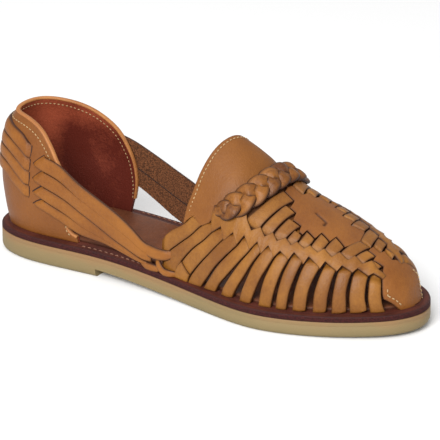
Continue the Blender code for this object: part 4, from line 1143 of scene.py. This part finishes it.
def make_straps():
    build = Build()
    v = edge_samples(7, 8.0)
    for k in range(4):
        strap_sheet(build, STRAP_OUT, 1, k, 0.3 if k < 2 else -0.2)
        strap_sheet(build, STRAP_IN, -1, k, 0.2 if k < 2 else -0.3)
        # round the heel, its ends going in through slots
        a = np.linspace(-37.5, 37.5, 150)
        t = smooth_table(HEEL_BAND, a, 1 + k) - 0.3
        b = smooth_table(HEEL_BAND, a, 2 + k) + 0.3
        Z = t[:, None] * (1 - v) + b[:, None] * v
        A = np.repeat(a[:, None], len(v), 1) + np.sign(a)[:, None] * 1.2 * (0.5 - v) * ease(np.abs(a)[:, None] / 20)
        out = 1.55 - 2.0 * np.clip((np.abs(A) - 34.2) / 2.6, 0, 1)
        P, N = counter_surface(A, Z, out)
        build.sheet(P, N, 1.4, tone=random.uniform(-0.5, 0.5), radius=0.6, crown=0.3, line=0.9)
    build.make("strap_band", MAT_STRAP)
    # dark tubes along the slits that the strands go in through: painted shadow of the open slits
    slit_shadows = Build()
    f = np.linspace(0, 1, 12)
    ways = []
    for side, table in ((1, STRAP_OUT), (-1, STRAP_IN)):
        for k in range(4):
            y = table[0][0] + 0.9 + 6.4 * (1 - f)
            z = smooth_table(table, y, 2 + k) * (1 - f) + smooth_table(table, y, 3 + k) * f
            ways.append((np.array([heel_arc(q, side) for q in y]), z))
            a = np.full(12, 36.2 * side) + side * 0.6 * (0.5 - f)
            ways.append((a, smooth_table(HEEL_BAND, a, 1 + k) * (1 - f) + smooth_table(HEEL_BAND, a, 2 + k) * f))
    for a, z in ways:
        P, N = counter_surface(a, z, 0.02)
        T = np.gradient(P, axis=0)
        T /= np.linalg.norm(T, axis=1)[:, None]
        A = np.cross(N, T)
        A /= np.linalg.norm(A, axis=1)[:, None]
        slit_shadows.tube(P, A, N, 0.62 * np.sin(np.pi * np.linspace(0.08, 0.92, 12))**0.6, np.full(12, 0.22), sides_=8)
    # painted shadow: every point of these tubes takes the dark edge colour
    slit_shadows.edge = [1.0] * len(slit_shadows.edge)
    slit_shadows.make("strap_slit_shadows", MAT_STRAP)


make_straps()

# ends of the side strap where it turns under the first strips: station, distance from the crest, height over the surface
TURN_IN = [(97.0, 75.3, 0.2), (101.5, 75.7, 1.5), (106.5, 76.2, 2.2), (111.0, 77.0, 2.2), (115.0, 77.6, 1.8), (119.5, 77.6, 1.0), (123.0, 76.6, -0.6)]
LOOP_1 = [(101.5, 82.0, 0.2), (103.5, 83.2, 1.4), (106.5, 84.8, 2.1), (110.5, 86.2, 2.2), (114.5, 85.8, 1.4), (117.5, 84.0, -0.4)]
LOOP_2 = [(113.5, 80.5, 0.2), (115.0, 82.2, 1.5), (117.0, 84.6, 2.1), (120.0, 86.8, 2.0), (123.5, 88.2, 1.4), (127.0, 87.6, -0.4)]


def make_loops():
    for side, name in ((1, "strap_turns_outer"), (-1, "strap_turns_inner")):
        build = Build()
        for path, half, tone in ((TURN_IN, 3.6, 0.3), (LOOP_1, 2.2, -0.2), (LOOP_2, 2.2, 0.5)):
            q = smooth_line(path, 60)
            b = q[:, 1] if side > 0 else mirror_b(q[:, 0], q[:, 1])
            P, N = surface(q[:, 0], b)
            P = P + N * q[:, 2:3]
            P[:, 2] = np.maximum(P[:, 2], z_mid(P[:, 1]) + half * 0.75)
            T = np.gradient(P, axis=0)
            T /= np.linalg.norm(T, axis=1)[:, None]
            A = np.cross(N, T)
            A /= np.linalg.norm(A, axis=1)[:, None]
            taper = np.sin(np.pi * np.clip(np.linspace(0.12, 0.88, 60), 0, 1))**0.5
            build.tube(P, A, N, half * taper, 0.95 * np.ones(60), tone=tone, sides_=16)
        build.make(name, MAT_STRAP)


make_loops()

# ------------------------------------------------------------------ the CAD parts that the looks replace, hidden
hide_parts("upper")
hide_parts("heel_counter")
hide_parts("tongue")
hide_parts("instep_braid")

# ------------------------------------------------------------------ floor, light, camera
bpy.ops.mesh.primitive_plane_add(size=6.0, location=(0, 0, 0))
floor = bpy.context.object
floor.name = "studio_floor"
fm = bpy.data.materials.new("studio_floor")
fm.use_nodes = True
fm.node_tree.nodes["Principled BSDF"].inputs["Base Color"].default_value = (0.86, 0.86, 0.86, 1)
fm.node_tree.nodes["Principled BSDF"].inputs["Roughness"].default_value = 0.9
fm.node_tree.nodes["Principled BSDF"].inputs["Specular IOR Level"].default_value = 0.1
floor.data.materials.append(fm)

world = bpy.data.worlds.new("studio")
bpy.context.scene.world = world
world.use_nodes = True
world.node_tree.nodes["Background"].inputs["Color"].default_value = (1, 1, 1, 1)
world.node_tree.nodes["Background"].inputs["Strength"].default_value = 0.70


def area(name, loc, target, size, power):
    data = bpy.data.lights.new(name, "AREA")
    data.shape = "SQUARE"
    data.size = size
    data.energy = power
    obj = bpy.data.objects.new(name, data)
    bpy.context.scene.collection.objects.link(obj)
    d = np.array(target) - np.array(loc)
    from mathutils import Vector
    obj.rotation_euler = Vector(d).to_track_quat("-Z", "Y").to_euler()
    obj.location = loc
    return obj


area("key", (1.05, 0.30, 0.80), (0, 0.02, 0.03), 0.7, 21.0)
area("top", (-0.15, -0.25, 1.4), (0, 0, 0), 1.0, 3.5)

AZ, EL, ROLL, DIST, SCALE, TX, TY = math.radians(123.063), math.radians(22.465), math.radians(-0.357), 2092.89, 1.87353, -3.894, -4.940
back = np.array([math.sin(AZ) * math.cos(EL), -math.cos(AZ) * math.cos(EL), math.sin(EL)])
right = np.array([math.cos(AZ), math.sin(AZ), 0.0])
up = np.cross(back, right)
R = right * math.cos(ROLL) + up * math.sin(ROLL)
U = -right * math.sin(ROLL) + up * math.cos(ROLL)
where = np.array([0.0, 129.0, 30.0]) - TX * R - TY * U + DIST * back
where = (where + SHIFT) * 0.001
cam_data = bpy.data.cameras.new("camera")
cam = bpy.data.objects.new("camera", cam_data)
bpy.context.scene.collection.objects.link(cam)
cam_data.sensor_fit = "HORIZONTAL"
cam_data.sensor_width = 36.0
cam_data.lens = SCALE * DIST * 36.0 / 440.0
cam_data.clip_end = 20.0
m = Matrix.Identity(4)
for i in range(3):
    m[i][0], m[i][1], m[i][2], m[i][3] = float(R[i]), float(U[i]), float(back[i]), float(where[i])
cam.matrix_world = m
bpy.context.scene.camera = cam
bpy.context.scene.view_settings.view_transform = "Standard"
